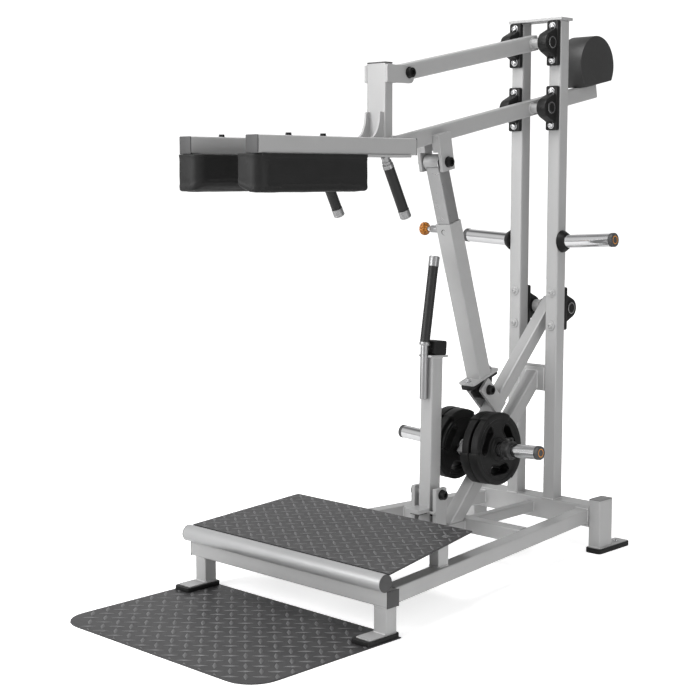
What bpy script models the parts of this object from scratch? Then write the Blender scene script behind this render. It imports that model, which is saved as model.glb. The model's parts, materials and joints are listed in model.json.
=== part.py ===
# Squat machine at rest, in metres, +Z up, the user's side toward -Y.
# Y values below are measured from the rear edge of the floor mat; MIDDLE_Y moves the whole to the origin.
import math

import bmesh
import bpy
from mathutils import Matrix, Vector

# fits
GAP = 0.0003
SHAFT_R = 0.015
BORE_R = 0.0155
BOLT_R = 0.008
BUSH_BORE_R = 0.0086
ROUND_STEPS = 18
TUBE_CORNER = 0.006

# floor mat
MAT_INSET = 0.001
MAT_FRONT = -0.594
MAT_REAR = 0.005
MAT_THICK = 0.004
MAT_CORNER = 0.095

# front cross tube and the round tube on it
CROSS_HALF = 0.439
CROSS_FRONT = -0.060
CROSS_REAR = -0.008
RAIL_BOTTOM = 0.102
RAIL_TOP = 0.154
ROLLER_PROUD = 0.004
ROLLER_R = 0.0266
ROLLER_Y = -0.0675
WELD_Y = -0.0603
WELD_Z = 0.1543
WELD_R = 0.0026

# foot platform
STEP_FRONT = -0.0495
STEP_FRONT_TOP = 0.206
STEP_PROUD = 0.001
STEP_REAR = 0.390
STEP_REAR_TOP = 0.246
STEP_REAR_HALF = 0.392
STEP_THICK = 0.005
PROP_IN = CROSS_HALF - 0.100
PROP_OUT = CROSS_HALF - 0.060
PROP_FRONT = 0.242
PROP_REAR = 0.292

# splayed side rails
RAIL_INSET = 0.0123
RAIL_SPLAY = 0.1366
RAIL_WIDTH = 0.0525

# cross and centre rails
MID_FRONT = 0.803
MID_REAR = 0.855
FRONT_CENTRE_HALF = 0.026
FRONT_CENTRE_BOTTOM = 0.098
FRONT_CENTRE_TOP = 0.148
REAR_CENTRE_HALF = 0.019
REAR_CENTRE_BOTTOM = 0.106
REAR_CENTRE_TOP = 0.146

# uprights
UP_IN = 0.057
UP_OUT = 0.109
UP_FRONT = 1.215
UP_REAR = 1.267
UP_TOP = 1.900
HEAD_HALF = 0.118
HEAD_FRONT = 1.203
HEAD_REAR = 1.275
HEAD_THICK = 0.0097
TIE_BOTTOM = 0.566
TIE_TOP = 0.657

# diagonal brace
BRACE_WIDTH = 0.052
BRACE_DEPTH = 0.052
BRACE_RUN = 0.611

# rear cross and legs
REAR_CROSS_HALF = 0.263
REAR_CROSS_REAR = 1.297
REAR_CROSS_BOTTOM = 0.088
REAR_CROSS_TOP = 0.167
REAR_LEG_OUT = REAR_CROSS_HALF + 0.050
REAR_LEG_REAR = 1.296
REAR_LEG_TOP = 0.190
REAR_CAP_TOP = 0.193
REAR_FOOT_IN = REAR_CROSS_HALF + 0.0023
REAR_FOOT_OUT = REAR_CROSS_HALF + 0.057
REAR_FOOT_FRONT = 1.207
REAR_FOOT_REAR = 1.390
REAR_BOOT_IN = REAR_CROSS_HALF - 0.003
REAR_BOOT_OUT = REAR_CROSS_HALF + 0.0615
REAR_BOOT_FRONT = 1.200
REAR_BOOT_REAR = 1.396
FOOT_THICK = 0.008
BOOT_FLOOR = 0.012
BOOT_TALL = 0.018

# front legs
FRONT_LEG_WIDE = 0.052
FRONT_LEG_INSET = 0.010
FRONT_LEG_FRONT = -0.0516
FRONT_LEG_REAR = -0.003
FRONT_FOOT_WIDE = 0.059
FRONT_FOOT_INSET = 0.008
FRONT_FOOT_FRONT = -0.122
FRONT_FOOT_REAR = -0.0042
FRONT_BOOT_WIDE = 0.072
FRONT_BOOT_INSET = 0.003
FRONT_BOOT_FRONT = -0.138
FRONT_BOOT_REAR = 0.004
FRONT_BOOT_FLOOR = 0.0082

# plate horns: the pair on the uprights and the pair on the lever
HORN_SLOPE = 0.054
STORE_Y = 1.241
STORE_Z = 1.110
STORE_R = 0.0235
STORE_CONE_END = 0.133
STORE_TUBE_END = 0.320
STORE_TIP = 0.336
CONE_WIDE_R = 0.040
CONE_THIN_R = 0.030
STORE_CAP_R = 0.025
LOAD_Y = 0.851
LOAD_Z = 0.402
LOAD_R = 0.024
LOAD_CAP_R = 0.0243
LOAD_COLLAR_END = 0.0605
LOAD_TUBE_END = 0.299
LOAD_TIP = 0.3147

# rubber plates and clips on the lever's horns
PLATE_R = 0.1285
PLATE_RIM = 0.1065
PLATE_HUB_R = 0.040
PLATE_BORE_R = 0.0253
PLATE_DISH = 0.005
PLATE_FIRST_RIGHT = 0.0615
PLATE_FIRST_LEFT = 0.030
PLATE_WIDE = 0.0393
SLOT_RADIUS = 0.079
SLOT_HALF = 0.0155
SLOT_SWEEP = math.radians(60)
CLIP_AFTER = 0.1015
CLIP_LONG = 0.032
CLIP_R = 0.034

# pillow-block bearings
BLOCK_IN = 0.059
BLOCK_OUT = 0.107
BLOCK_LONG = 0.157
BLOCK_BOLTS = 0.120
BLOCK_FOOT = 0.017
BLOCK_BORE = 0.045
BLOCK_HEAD_R = 0.036
BLOCK_SHOULDER = 0.0535
BLOCK_BODY_CUT = 0.005
RING_R = 0.0235
RING_IN = 0.0615
RING_OUT = 0.1053
BLOCK_NUT_R = 0.0104
BLOCK_NUT_TALL = 0.009
SHAFT_END = 0.1062

# hinge axes, as (y, z)
UPPER_REAR = (1.170, 1.820)
LOWER_REAR = (1.170, 1.592)
UPPER_FRONT = (0.470, 1.682)
LOWER_FRONT = (0.470, 1.454)
LEVER_REAR = (1.312, 0.869)
LINK_TOP = (0.665, 1.398)
LINK_FOOT = (0.919, 0.600)
POST_FOOT = (0.638, 0.270)

# arms
ARM_WIDTH = 0.040
ARM_DEPTH = 0.054
ARM_NOSE = 0.030
ARM_TAIL_Y = 1.573
BOSS_R = 0.020
ARM_HUB_R = 0.0165
BOSS_HALF = 0.0575
BUSH_HALF = 0.0395

# counterweight on the lower arm's tail
COUNTER_Y = 1.532
COUNTER_Z = 1.762
COUNTER_R = 0.108
COUNTER_HALF = 0.050

# clevis for the push link, on the lower arm
EAR_IN = 0.040
EAR_OUT = 0.052
EAR_HALF = 0.0315
EAR_BELOW = 0.0285
EAR_ABOVE = 0.004
SPACER_DOWN = 0.056
HEAD_R = 0.015
HEAD_TALL = 0.008

# pad frame
COLUMN_HALF = 0.040
COLUMN_FRONT = 0.365
COLUMN_REAR = 0.403
COLUMN_TOP = 1.707
COLUMN_CAP_TOP = 1.712
BEAM_FRONT = 0.303
BEAM_BOTTOM = 1.417
BEAM_TOP = 1.469
CHEEK_OUT = 0.050
CHEEK_REAR = 0.493
UPPER_CHEEK_BOTTOM = 1.648
UPPER_CHEEK_TOP = 1.704
LOWER_CHEEK_BOTTOM = 1.424
LOWER_CHEEK_TOP = 1.480
GUSSET_IN = 0.026
GUSSET_OUT = 0.034
GUSSET_TOP = 1.555
GUSSET_LIP = 0.016
GUSSET_FRONT = 0.308
PAD_ARM_IN = 0.120
PAD_ARM_OUT = 0.171
PAD_ARM_FRONT = -0.302
PAD_ARM_REAR = 0.369
PAD_ARM_BOTTOM = 1.416
PAD_ARM_TOP = 1.468
BOARD_IN = 0.116
BOARD_OUT = 0.175
BOARD_FRONT = -0.270
BOARD_REAR = 0.343
BOARD_BOTTOM = 1.4084

# shoulder pads
PAD_IN = 0.084
PAD_OUT = 0.176
PAD_FRONT = -0.310
PAD_REAR = 0.141
PAD_BOTTOM = 1.3065
PAD_INNER_BOTTOM = 1.329
PAD_FLAT_FROM = 0.136
PAD_TOP = 1.408
PAD_ROUND_R = 0.036
PAD_SHARP_R = 0.010
PAD_TAIL_R = 0.006

# hand grips under the pad arms
GRIP_X = 0.146
GRIP_TOP_Y = 0.255
GRIP_TOP_Z = 1.400
GRIP_END_Y = 0.348
GRIP_END_Z = 1.222
GRIP_R = 0.017
GRIP_COLLAR_R = 0.0135
GRIP_COLLAR_LONG = 0.034
GRIP_CAP_R = 0.018
GRIP_CAP_LONG = 0.026

# push link
LINK_BUSH_R = 0.025
LINK_BUSH_HALF = 0.037
LINK_INNER = 0.057
LINK_OUTER = 0.065
LINK_INNER_FROM = 0.012
LINK_SLEEVE_FROM = 0.212
FLANGE_LONG = 0.150
FLANGE_WIDE = 0.070
FLANGE_THICK = 0.008
LINK_BLOCK_HALF = 0.0235
OPEN_BORE_R = 0.0175
PIN_ALONG = 0.239
PIN_SLEEVE_R = 0.012
PIN_SLEEVE_END = 0.081
PIN_R = 0.005
PIN_BORE_R = 0.0057
PIN_DEEP = 0.060
KNOB_R = 0.021
KNOB_START = 0.0945
KNOB_END = 0.124

# weight lever
LEVER_SLOPE = 1.03
LEVER_TUBE = 0.050
LEVER_NOSE = 0.035
LEVER_BACK = 0.030
LEVER_BOSS_R = 0.024
SIDE_OUT = 0.036
SIDE_AHEAD = 0.031
SIDE_BEHIND = 0.028
SIDE_RISE = 0.034
SIDE_CHAMFER = 0.003
SIDE_SINK = 0.015
LINK_PIN_R = 0.010

# stop post and its base
POST_HALF = 0.026
POST_FRONT = 0.611
POST_REAR = 0.667
POST_BOTTOM = 0.165
POST_TOP = 0.7415
POST_LEAN = math.radians(1.4)
CLEVIS_IN = 0.041
CLEVIS_OUT = 0.0565
CLEVIS_FRONT = 0.609
CLEVIS_REAR = 0.664
CLEVIS_TOP = 0.292
BASE_HALF = 0.058
BASE_FRONT = 0.592
BASE_REAR = 0.684
BASE_THICK = 0.008
STOP_ROD_Y = 0.6042
STOP_ROD_Z = 0.210
STOP_ROD_R = 0.005
SHELF_LEFT = -0.030
SHELF_RIGHT = 0.031
SHELF_FRONT = 0.548
SHELF_REAR = 0.6085
SHELF_BOTTOM = 0.2115
SHELF_TOP = 0.225
CROWN_FRONT = 0.599
CROWN_REAR = 0.690
CROWN_HALF = 0.030
CROWN_TOP = 0.742
CROWN_THICK = 0.0074
CROWN_LIFT = 0.0046
CROWN_TILT = math.radians(2.3)
BUMPER_FRONT = 0.6185
BUMPER_REAR = 0.679
BUMPER_HALF = 0.029
BUMPER_TOP = 0.791
HANDLE_X = 0.0
HANDLE_Y = 0.5972
HANDLE_R = 0.0135
HANDLE_BOTTOM = 0.598
HANDLE_BEND = 0.7845
HANDLE_LEAN = 0.0422
HANDLE_TOP = 1.082
HANDLE_GRIP_R = 0.0172

# derived places
MAT_HALF = CROSS_HALF - MAT_INSET
ROLLER_HALF = CROSS_HALF + ROLLER_PROUD
STEP_FRONT_HALF = CROSS_HALF + STEP_PROUD
RAIL_OUT_FRONT = CROSS_HALF - RAIL_INSET
FRONT_LEG_OUT = CROSS_HALF - FRONT_LEG_INSET
FRONT_LEG_IN = FRONT_LEG_OUT - FRONT_LEG_WIDE
FRONT_FOOT_OUT = CROSS_HALF - FRONT_FOOT_INSET
FRONT_FOOT_IN = FRONT_FOOT_OUT - FRONT_FOOT_WIDE
FRONT_BOOT_OUT = CROSS_HALF - FRONT_BOOT_INSET
FRONT_BOOT_IN = FRONT_BOOT_OUT - FRONT_BOOT_WIDE
FRONT_END = MAT_FRONT
REAR_END = COUNTER_Y + COUNTER_R
MIDDLE_Y = (FRONT_END + REAR_END) / 2
ROLLER_Z = RAIL_TOP + ROLLER_R + GAP / 2
ARM_SLOPE = (UPPER_REAR[1] - UPPER_FRONT[1]) / (UPPER_REAR[0] - UPPER_FRONT[0])
LINK_LONG = math.hypot(LINK_FOOT[0] - LINK_TOP[0], LINK_FOOT[1] - LINK_TOP[1])

FINISHES = {
    "satin_grey": ((0.42, 0.43, 0.44), 0.42, 0.35),
    "checker": ((0.10, 0.10, 0.105), 0.45, 0.6),
    "rubber": ((0.02, 0.02, 0.021), 0.75, 0.0),
    "leather": ((0.03, 0.03, 0.031), 0.5, 0.0),
    "cast": ((0.03, 0.03, 0.033), 0.45, 0.3),
    "chrome": ((0.75, 0.75, 0.76), 0.12, 1.0),
    "orange": ((0.70, 0.25, 0.03), 0.4, 0.0),
    "black_steel": ((0.03, 0.03, 0.032), 0.4, 0.4),
}

X = Vector((1, 0, 0))
Y = Vector((0, 1, 0))
Z = Vector((0, 0, 1))


def at(x, y, z):
    """A point of the measured frame, moved to the part's own frame."""
    return Vector((x, y - MIDDLE_Y, z))


def pivot(pair):
    return at(0, pair[0], pair[1])


def clear_scene():
    for obj in list(bpy.data.objects):
        bpy.data.objects.remove(obj)


def collection(name, hidden):
    made = bpy.data.collections.new(name)
    made.hide_render = hidden
    bpy.context.scene.collection.children.link(made)
    return made


def material_for(name, finish):
    colour, roughness, metallic = FINISHES[finish]
    material = bpy.data.materials.new(name + "_" + finish)
    material.use_nodes = True
    shader = material.node_tree.nodes["Principled BSDF"]
    shader.inputs["Base Color"].default_value = (*colour, 1)
    shader.inputs["Roughness"].default_value = roughness
    shader.inputs["Metallic"].default_value = metallic
    material.diffuse_color = (*colour, 1)
    return material


def mesh_from(name, bm, origin):
    bmesh.ops.recalc_face_normals(bm, faces=bm.faces)
    bmesh.ops.translate(bm, verts=bm.verts, vec=-origin)
    mesh = bpy.data.meshes.new(name)
    bm.to_mesh(mesh)
    bm.free()
    mesh.polygons.foreach_set("use_smooth", [True] * len(mesh.polygons))
    mesh.set_sharp_from_angle(angle=math.radians(32))
    return mesh


def tool(name, bm):
    """A helper for a Boolean, kept out of the render."""
    obj = bpy.data.objects.new(name, mesh_from(name, bm, Vector()))
    obj.display_type = "WIRE"
    obj.hide_render = True
    TOOLS.objects.link(obj)
    return obj


def boolean(obj, helper, operation):
    modifier = obj.modifiers.new(operation.lower() + "_" + helper.name, "BOOLEAN")
    modifier.object = helper
    modifier.operation = operation
    modifier.solver = "EXACT"


def piece(name, finish, body, joined=(), cut=(), origin=None):
    """One sub-part: a body, the shapes welded to it, and then the shapes cut from it."""
    origin = origin or Vector()
    obj = bpy.data.objects.new(name, mesh_from(name, body, origin))
    obj.location = origin
    obj.data.materials.append(material_for(name, finish))
    PARTS.objects.link(obj)
    for i, bm in enumerate(joined):
        boolean(obj, tool(f"{name}_add{i}", bm), "UNION")
    for i, bm in enumerate(cut):
        boolean(obj, tool(f"{name}_cut{i}", bm), "DIFFERENCE")
    return obj


def loft(rings):
    """A closed solid through rings of points, each ring with the same count."""
    bm = bmesh.new()
    made = [[bm.verts.new(point) for point in ring] for ring in rings]
    bm.faces.new(made[0][::-1])
    bm.faces.new(made[-1])
    for lower, upper in zip(made, made[1:]):
        for i in range(len(lower)):
            j = (i + 1) % len(lower)
            bm.faces.new((lower[i], lower[j], upper[j], upper[i]))
    return bm


def rounded(width, depth, radius, steps=2):
    """A rectangle about the origin with rounded corners."""
    if radius <= 0:
        signs = ((-1, -1), (1, -1), (1, 1), (-1, 1))
        return [(u * width / 2, v * depth / 2) for u, v in signs]
    points = []
    for quarter in range(4):
        centre_u = (width / 2 - radius) * (1 if quarter in (0, 3) else -1)
        centre_v = (depth / 2 - radius) * (1 if quarter in (0, 1) else -1)
        for step in range(steps + 1):
            angle = math.pi / 2 * (quarter + step / steps)
            points.append((centre_u + radius * math.cos(angle), centre_v + radius * math.sin(angle)))
    return points


def beam(start, end, across, width, depth, radius=TUBE_CORNER, start_face=None, end_face=None):
    """A tube's outer form from start to end, its ends cut square or along a given face."""
    along = (end - start).normalized()
    up = along.cross(across).normalized()
    rings = []
    for point, face in ((start, start_face or along), (end, end_face or along)):
        ring = []
        for u, v in rounded(width, depth, radius):
            offset = across * u + up * v
            ring.append(point + offset - along * (offset.dot(face) / along.dot(face)))
        rings.append(ring)
    return loft(rings)


def block(low, high, radius=0.0, axis=Z):
    """A box between two corners, with its edges along one axis rounded."""
    middle = (low + high) / 2
    size = high - low
    across = Y if abs(axis.x) > 0.5 else X
    half = axis * abs(size.dot(axis)) / 2
    other = axis.cross(across)
    return beam(middle - half, middle + half, across, abs(size.dot(across)), abs(size.dot(other)), radius)


def slab(outline, x_from, x_to):
    """A flat plate with an outline in (y, z), standing between two x values."""
    return loft([[at(x_from, y, z) for y, z in outline], [at(x_to, y, z) for y, z in outline]])


def flat(outline, z_from, z_to):
    """A flat plate with an outline in (x, y)."""
    return loft([[at(x, y, z_from) for x, y in outline], [at(x, y, z_to) for x, y in outline]])


def across_axes(along):
    first = along.cross(Z if abs(along.z) < 0.9 else X).normalized()
    return first, along.cross(first)


def turned(start, along, profile, steps=ROUND_STEPS, start_face=None):
    """A turned solid: profile holds (distance, radius) pairs along the axis."""
    along = along.normalized()
    first, second = across_axes(along)
    rings = []
    for distance, radius in profile:
        ring = []
        for i in range(steps):
            angle = 2 * math.pi * i / steps
            out = first * math.cos(angle) + second * math.sin(angle)
            ring.append(start + along * distance + out * radius)
        rings.append(ring)
    if start_face:
        rings[0] = [p - along * ((p - start).dot(start_face) / along.dot(start_face)) for p in rings[0]]
    return loft(rings)


def rod(start, end, radius, steps=ROUND_STEPS):
    return turned(start, end - start, [(0, radius), ((end - start).length, radius)], steps)


def cross_rod(pair, half, radius, steps=ROUND_STEPS):
    """A rod along X about the middle plane."""
    return rod(at(-half, *pair), at(half, *pair), radius, steps)


def domed_bolt(pair, half, radius=BOLT_R, head=HEAD_R, steps=12):
    """A bolt along X with a low dome at each end; half is where the domes start."""
    profile = [
        (0, head * 0.7),
        (HEAD_TALL, head),
        (HEAD_TALL + 0.0005, radius),
        (HEAD_TALL + 2 * half - 0.0005, radius),
        (HEAD_TALL + 2 * half, head),
        (2 * HEAD_TALL + 2 * half, head * 0.7),
    ]
    return turned(at(-half - HEAD_TALL, *pair), X, profile, steps)


def ring_solid(start, along, loop, steps):
    """A turned solid with a hole: loop holds the closed (distance, radius) section."""
    along = along.normalized()
    first, second = across_axes(along)
    bm = bmesh.new()
    rings = []
    for i in range(steps):
        angle = 2 * math.pi * i / steps
        out = first * math.cos(angle) + second * math.sin(angle)
        rings.append([bm.verts.new(start + along * t + out * r) for t, r in loop])
    for i in range(steps):
        here, there = rings[i], rings[(i + 1) % steps]
        for j in range(len(loop)):
            k = (j + 1) % len(loop)
            bm.faces.new((here[j], here[k], there[k], there[j]))
    return bm


def floor_mat():
    outline = [(MAT_HALF, MAT_REAR), (-MAT_HALF, MAT_REAR)]
    for side in (-1, 1):
        for step in range(7):
            angle = math.pi / 12 * step
            if side > 0:
                angle = math.pi / 2 - angle
            x = side * (MAT_HALF - MAT_CORNER + MAT_CORNER * math.cos(angle))
            outline.append((x, MAT_FRONT + MAT_CORNER - MAT_CORNER * math.sin(angle)))
    piece("floor_mat", "checker", flat(outline, 0, MAT_THICK))


def front_tubes():
    middle_y = (CROSS_FRONT + CROSS_REAR) / 2
    middle_z = (RAIL_BOTTOM + RAIL_TOP) / 2
    wide = CROSS_REAR - CROSS_FRONT
    tall = RAIL_TOP - RAIL_BOTTOM - 2 * GAP
    tube = beam(at(-CROSS_HALF, middle_y, middle_z), at(CROSS_HALF, middle_y, middle_z), Y, wide, tall)
    piece("front_cross", "satin_grey", tube)
    roller = rod(at(-ROLLER_HALF, ROLLER_Y, ROLLER_Z), at(ROLLER_HALF, ROLLER_Y, ROLLER_Z), ROLLER_R)
    weld_half = CROSS_HALF - TUBE_CORNER
    weld = rod(at(-weld_half, WELD_Y, WELD_Z), at(weld_half, WELD_Y, WELD_Z), WELD_R, 12)
    piece("roller_tube", "satin_grey", roller, [weld])


def step_top(y):
    return STEP_FRONT_TOP + (STEP_REAR_TOP - STEP_FRONT_TOP) * (y - STEP_FRONT) / (STEP_REAR - STEP_FRONT)


def platform():
    corners = [
        (-STEP_FRONT_HALF, STEP_FRONT, STEP_FRONT_TOP),
        (STEP_FRONT_HALF, STEP_FRONT, STEP_FRONT_TOP),
        (STEP_REAR_HALF, STEP_REAR, STEP_REAR_TOP),
        (-STEP_REAR_HALF, STEP_REAR, STEP_REAR_TOP),
    ]
    top = [at(*corner) for corner in corners]
    piece("platform", "checker", loft([[p - Z * STEP_THICK for p in top], top]))


def rail_out(y):
    return RAIL_OUT_FRONT - RAIL_SPLAY * y


def side_rail(side, name):
    start_y = CROSS_REAR + GAP
    end_y = UP_FRONT - GAP
    middle_z = (RAIL_BOTTOM + RAIL_TOP) / 2
    along = Vector((-RAIL_SPLAY * side, 1, 0)).normalized()
    across = along.cross(Z)
    width = RAIL_WIDTH * along.y
    start = at(side * (rail_out(start_y) - RAIL_WIDTH / 2), start_y, middle_z)
    end = at(side * (rail_out(end_y) - RAIL_WIDTH / 2), end_y, middle_z)
    tube = beam(start, end, across, width, RAIL_TOP - RAIL_BOTTOM - 2 * GAP, TUBE_CORNER, Y, Y)
    middle_y = (PROP_FRONT + PROP_REAR) / 2
    prop_x = side * (PROP_IN + PROP_OUT) / 2
    slope = Vector((0, -(STEP_REAR_TOP - STEP_FRONT_TOP), STEP_REAR - STEP_FRONT)).normalized()
    prop = beam(
        at(prop_x, middle_y, RAIL_TOP - 0.01),
        at(prop_x, middle_y, step_top(middle_y) - STEP_THICK - GAP),
        X,
        PROP_OUT - PROP_IN,
        PROP_REAR - PROP_FRONT,
        0.005,
        None,
        slope,
    )
    piece("side_rail_" + name, "satin_grey", tube, [prop])


def centre_rails():
    middle_z = (RAIL_BOTTOM + RAIL_TOP) / 2
    tall = RAIL_TOP - RAIL_BOTTOM - 2 * GAP
    middle_y = (MID_FRONT + MID_REAR) / 2
    half = rail_out(middle_y) - RAIL_WIDTH - GAP
    face = Vector((1, RAIL_SPLAY, 0)).normalized()
    mirror = Vector((1, -RAIL_SPLAY, 0)).normalized()
    start = at(-half, middle_y, middle_z)
    end = at(half, middle_y, middle_z)
    mid = beam(start, end, Y, MID_REAR - MID_FRONT, tall, TUBE_CORNER, mirror, face)
    piece("mid_cross", "satin_grey", mid)
    front_z = (FRONT_CENTRE_BOTTOM + FRONT_CENTRE_TOP) / 2
    front_tall = FRONT_CENTRE_TOP - FRONT_CENTRE_BOTTOM - 2 * GAP
    start = at(0, CROSS_REAR + GAP, front_z)
    front = beam(start, at(0, MID_FRONT - GAP, front_z), X, 2 * FRONT_CENTRE_HALF, front_tall)
    piece("front_centre_rail", "satin_grey", front)
    rear_z = (REAR_CENTRE_BOTTOM + REAR_CENTRE_TOP) / 2
    rear_tall = REAR_CENTRE_TOP - REAR_CENTRE_BOTTOM
    rear = beam(at(0, MID_REAR + GAP, rear_z), at(0, UP_FRONT - GAP, rear_z), X, 2 * REAR_CENTRE_HALF, rear_tall)
    piece("rear_centre_rail", "satin_grey", rear)


def uprights():
    middle_y = (UP_FRONT + UP_REAR) / 2
    for side, name in ((1, "right"), (-1, "left")):
        x = side * (UP_IN + UP_OUT) / 2
        foot = at(x, middle_y, REAR_CROSS_TOP + GAP)
        tube = beam(foot, at(x, middle_y, UP_TOP), X, UP_OUT - UP_IN, UP_REAR - UP_FRONT)
        piece("upright_" + name, "satin_grey", tube)
    head_low = at(-HEAD_HALF, HEAD_FRONT, UP_TOP + GAP)
    piece("top_plate", "satin_grey", block(head_low, at(HEAD_HALF, HEAD_REAR, UP_TOP + GAP + HEAD_THICK), 0.004))
    half = UP_IN - GAP
    tie = block(at(-half, UP_FRONT, TIE_BOTTOM), at(half, UP_REAR, TIE_TOP), TUBE_CORNER, X)
    piece("upright_tie", "satin_grey", tie)
    foot_z = FRONT_CENTRE_TOP
    head_y = UP_FRONT - GAP
    brace = beam(
        at(0, foot_z + BRACE_RUN, foot_z),
        at(0, head_y, head_y - BRACE_RUN),
        X,
        BRACE_WIDTH,
        BRACE_DEPTH,
        TUBE_CORNER,
        Z,
        Y,
    )
    piece("brace", "satin_grey", brace)


def rear_base():
    low = at(-REAR_CROSS_HALF + GAP, UP_FRONT, REAR_CROSS_BOTTOM)
    cross = block(low, at(REAR_CROSS_HALF - GAP, REAR_CROSS_REAR, REAR_CROSS_TOP), TUBE_CORNER, X)
    piece("rear_cross", "satin_grey", cross)


def boot(name, side, x_in, x_out, front, rear, bottom, floor_top, top, plate):
    """A rubber tray with a rim round the foot plate that stands in it."""
    corner = 0.012
    outer = block(at(side * x_in, front, bottom), at(side * x_out, rear, top), corner)
    foot_in, foot_out, foot_front, foot_rear = plate
    low = at(side * (foot_in - GAP), foot_front - GAP, floor_top)
    pocket = block(low, at(side * (foot_out + GAP), foot_rear + GAP, top + 0.01), 0.006)
    piece(name, "rubber", outer, (), [pocket])


def rear_leg(side, name):
    leg = block(
        at(side * REAR_CROSS_HALF, UP_FRONT, BOOT_TALL + GAP),
        at(side * REAR_LEG_OUT, REAR_LEG_REAR, REAR_LEG_TOP),
        TUBE_CORNER,
    )
    inset = 0.0015
    cap = block(
        at(side * (REAR_CROSS_HALF + inset), UP_FRONT + inset, REAR_LEG_TOP - 0.004),
        at(side * (REAR_LEG_OUT - inset), REAR_LEG_REAR - inset, REAR_CAP_TOP),
        0.005,
    )
    foot = block(
        at(side * REAR_FOOT_IN, REAR_FOOT_FRONT, BOOT_FLOOR + GAP),
        at(side * REAR_FOOT_OUT, REAR_FOOT_REAR, BOOT_FLOOR + GAP + FOOT_THICK),
        0.006,
    )
    piece("rear_leg_" + name, "satin_grey", leg, [cap, foot])
    plate = (REAR_FOOT_IN, REAR_FOOT_OUT, REAR_FOOT_FRONT, REAR_FOOT_REAR)
    tray = (REAR_BOOT_IN, REAR_BOOT_OUT, REAR_BOOT_FRONT, REAR_BOOT_REAR)
    boot("rear_boot_" + name, side, *tray, 0, BOOT_FLOOR, BOOT_TALL, plate)


def front_leg(side, name):
    floor_top = MAT_THICK + GAP + FRONT_BOOT_FLOOR
    leg = block(
        at(side * FRONT_LEG_IN, FRONT_LEG_FRONT, BOOT_TALL + GAP),
        at(side * FRONT_LEG_OUT, FRONT_LEG_REAR, RAIL_BOTTOM),
        TUBE_CORNER,
    )
    foot = block(
        at(side * FRONT_FOOT_IN, FRONT_FOOT_FRONT, floor_top + GAP),
        at(side * FRONT_FOOT_OUT, FRONT_FOOT_REAR, floor_top + GAP + FOOT_THICK),
        0.006,
    )
    piece("front_leg_" + name, "satin_grey", leg, [foot])
    plate = (FRONT_FOOT_IN, FRONT_FOOT_OUT, FRONT_FOOT_FRONT, FRONT_FOOT_REAR)
    tray = (FRONT_BOOT_IN, FRONT_BOOT_OUT, FRONT_BOOT_FRONT, FRONT_BOOT_REAR)
    boot("front_boot_" + name, side, *tray, MAT_THICK + GAP, floor_top, BOOT_TALL, plate)


def horn_axis(side):
    return Vector((side, 0, HORN_SLOPE)).normalized()


def horn_point(x, y, z, side):
    return at(side * x, y, z + HORN_SLOPE * x)


def horn(name, side, y, z, root, collar_end, tube_end, tip, radius, cap_r, origin):
    """A plate horn: rubber cone where it has one, bare tube and end cap."""
    stretch = math.hypot(1, HORN_SLOPE)
    profile = [(0, radius)]
    if collar_end:
        cone_long = (collar_end - root) * stretch
        profile = [(0, CONE_WIDE_R), (cone_long, CONE_THIN_R), (cone_long + 0.0002, radius)]
    profile += [
        ((tube_end - root) * stretch, radius),
        ((tube_end - root) * stretch + 0.0002, cap_r),
        ((tip - root) * stretch - 0.002, cap_r),
        ((tip - root) * stretch, cap_r - 0.002),
    ]
    body = turned(horn_point(root, y, z, side), horn_axis(side), profile, 20, X)
    piece(name, "chrome", body, origin=origin)


def bearing(name, bore, out, along, x_from, x_to, ring_from, ring_to, bore_r, origin=None):
    """A pillow block: out is the way from its base to its bore, along is its long direction."""
    base = bore - out * BLOCK_BORE

    def shape(points, low, high):
        rings = []
        for x in (low, high):
            rings.append([base + out * h + along * s + X * (x - base.x) for h, s in points])
        return loft(rings)

    half = BLOCK_LONG / 2
    foot = [(GAP, -half), (BLOCK_FOOT - 0.003, -half), (BLOCK_FOOT, -half + 0.004)]
    foot += [(h, -s) for h, s in reversed(foot)]
    steps = 8
    drop = BLOCK_BORE - BLOCK_FOOT
    flank = math.atan2(BLOCK_SHOULDER, -drop) - math.acos(BLOCK_HEAD_R / math.hypot(BLOCK_SHOULDER, drop))
    arch = [(BLOCK_FOOT - 0.006, -BLOCK_SHOULDER), (BLOCK_FOOT, -BLOCK_SHOULDER)]
    for i in range(steps + 1):
        angle = flank * (2 * i / steps - 1)
        arch.append((BLOCK_BORE + BLOCK_HEAD_R * math.cos(angle), BLOCK_HEAD_R * math.sin(angle)))
    arch += [(BLOCK_FOOT, BLOCK_SHOULDER), (BLOCK_FOOT - 0.006, BLOCK_SHOULDER)]
    sign = 1 if x_to > x_from else -1
    body = shape(arch, x_from + sign * BLOCK_BODY_CUT, x_to - sign * BLOCK_BODY_CUT)
    middle = (x_from + x_to) / 2
    ring = rod(bore + X * (ring_from - bore.x), bore + X * (ring_to - bore.x), RING_R + bore_r - BORE_R)
    joined = [body, ring]
    for end in (-1, 1):
        place = base + along * (end * BLOCK_BOLTS / 2) + X * (middle - base.x)
        nut_start = place + out * (BLOCK_FOOT - 0.002)
        joined.append(rod(nut_start, place + out * (BLOCK_FOOT + BLOCK_NUT_TALL), BLOCK_NUT_R, 6))
    hole_start = bore + X * (min(x_from, x_to) - 0.02 - bore.x)
    hole = rod(hole_start, bore + X * (max(x_from, x_to) + 0.02 - bore.x), bore_r)
    piece(name, "cast", shape(foot, x_from, x_to), joined, [hole], origin)


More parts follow.
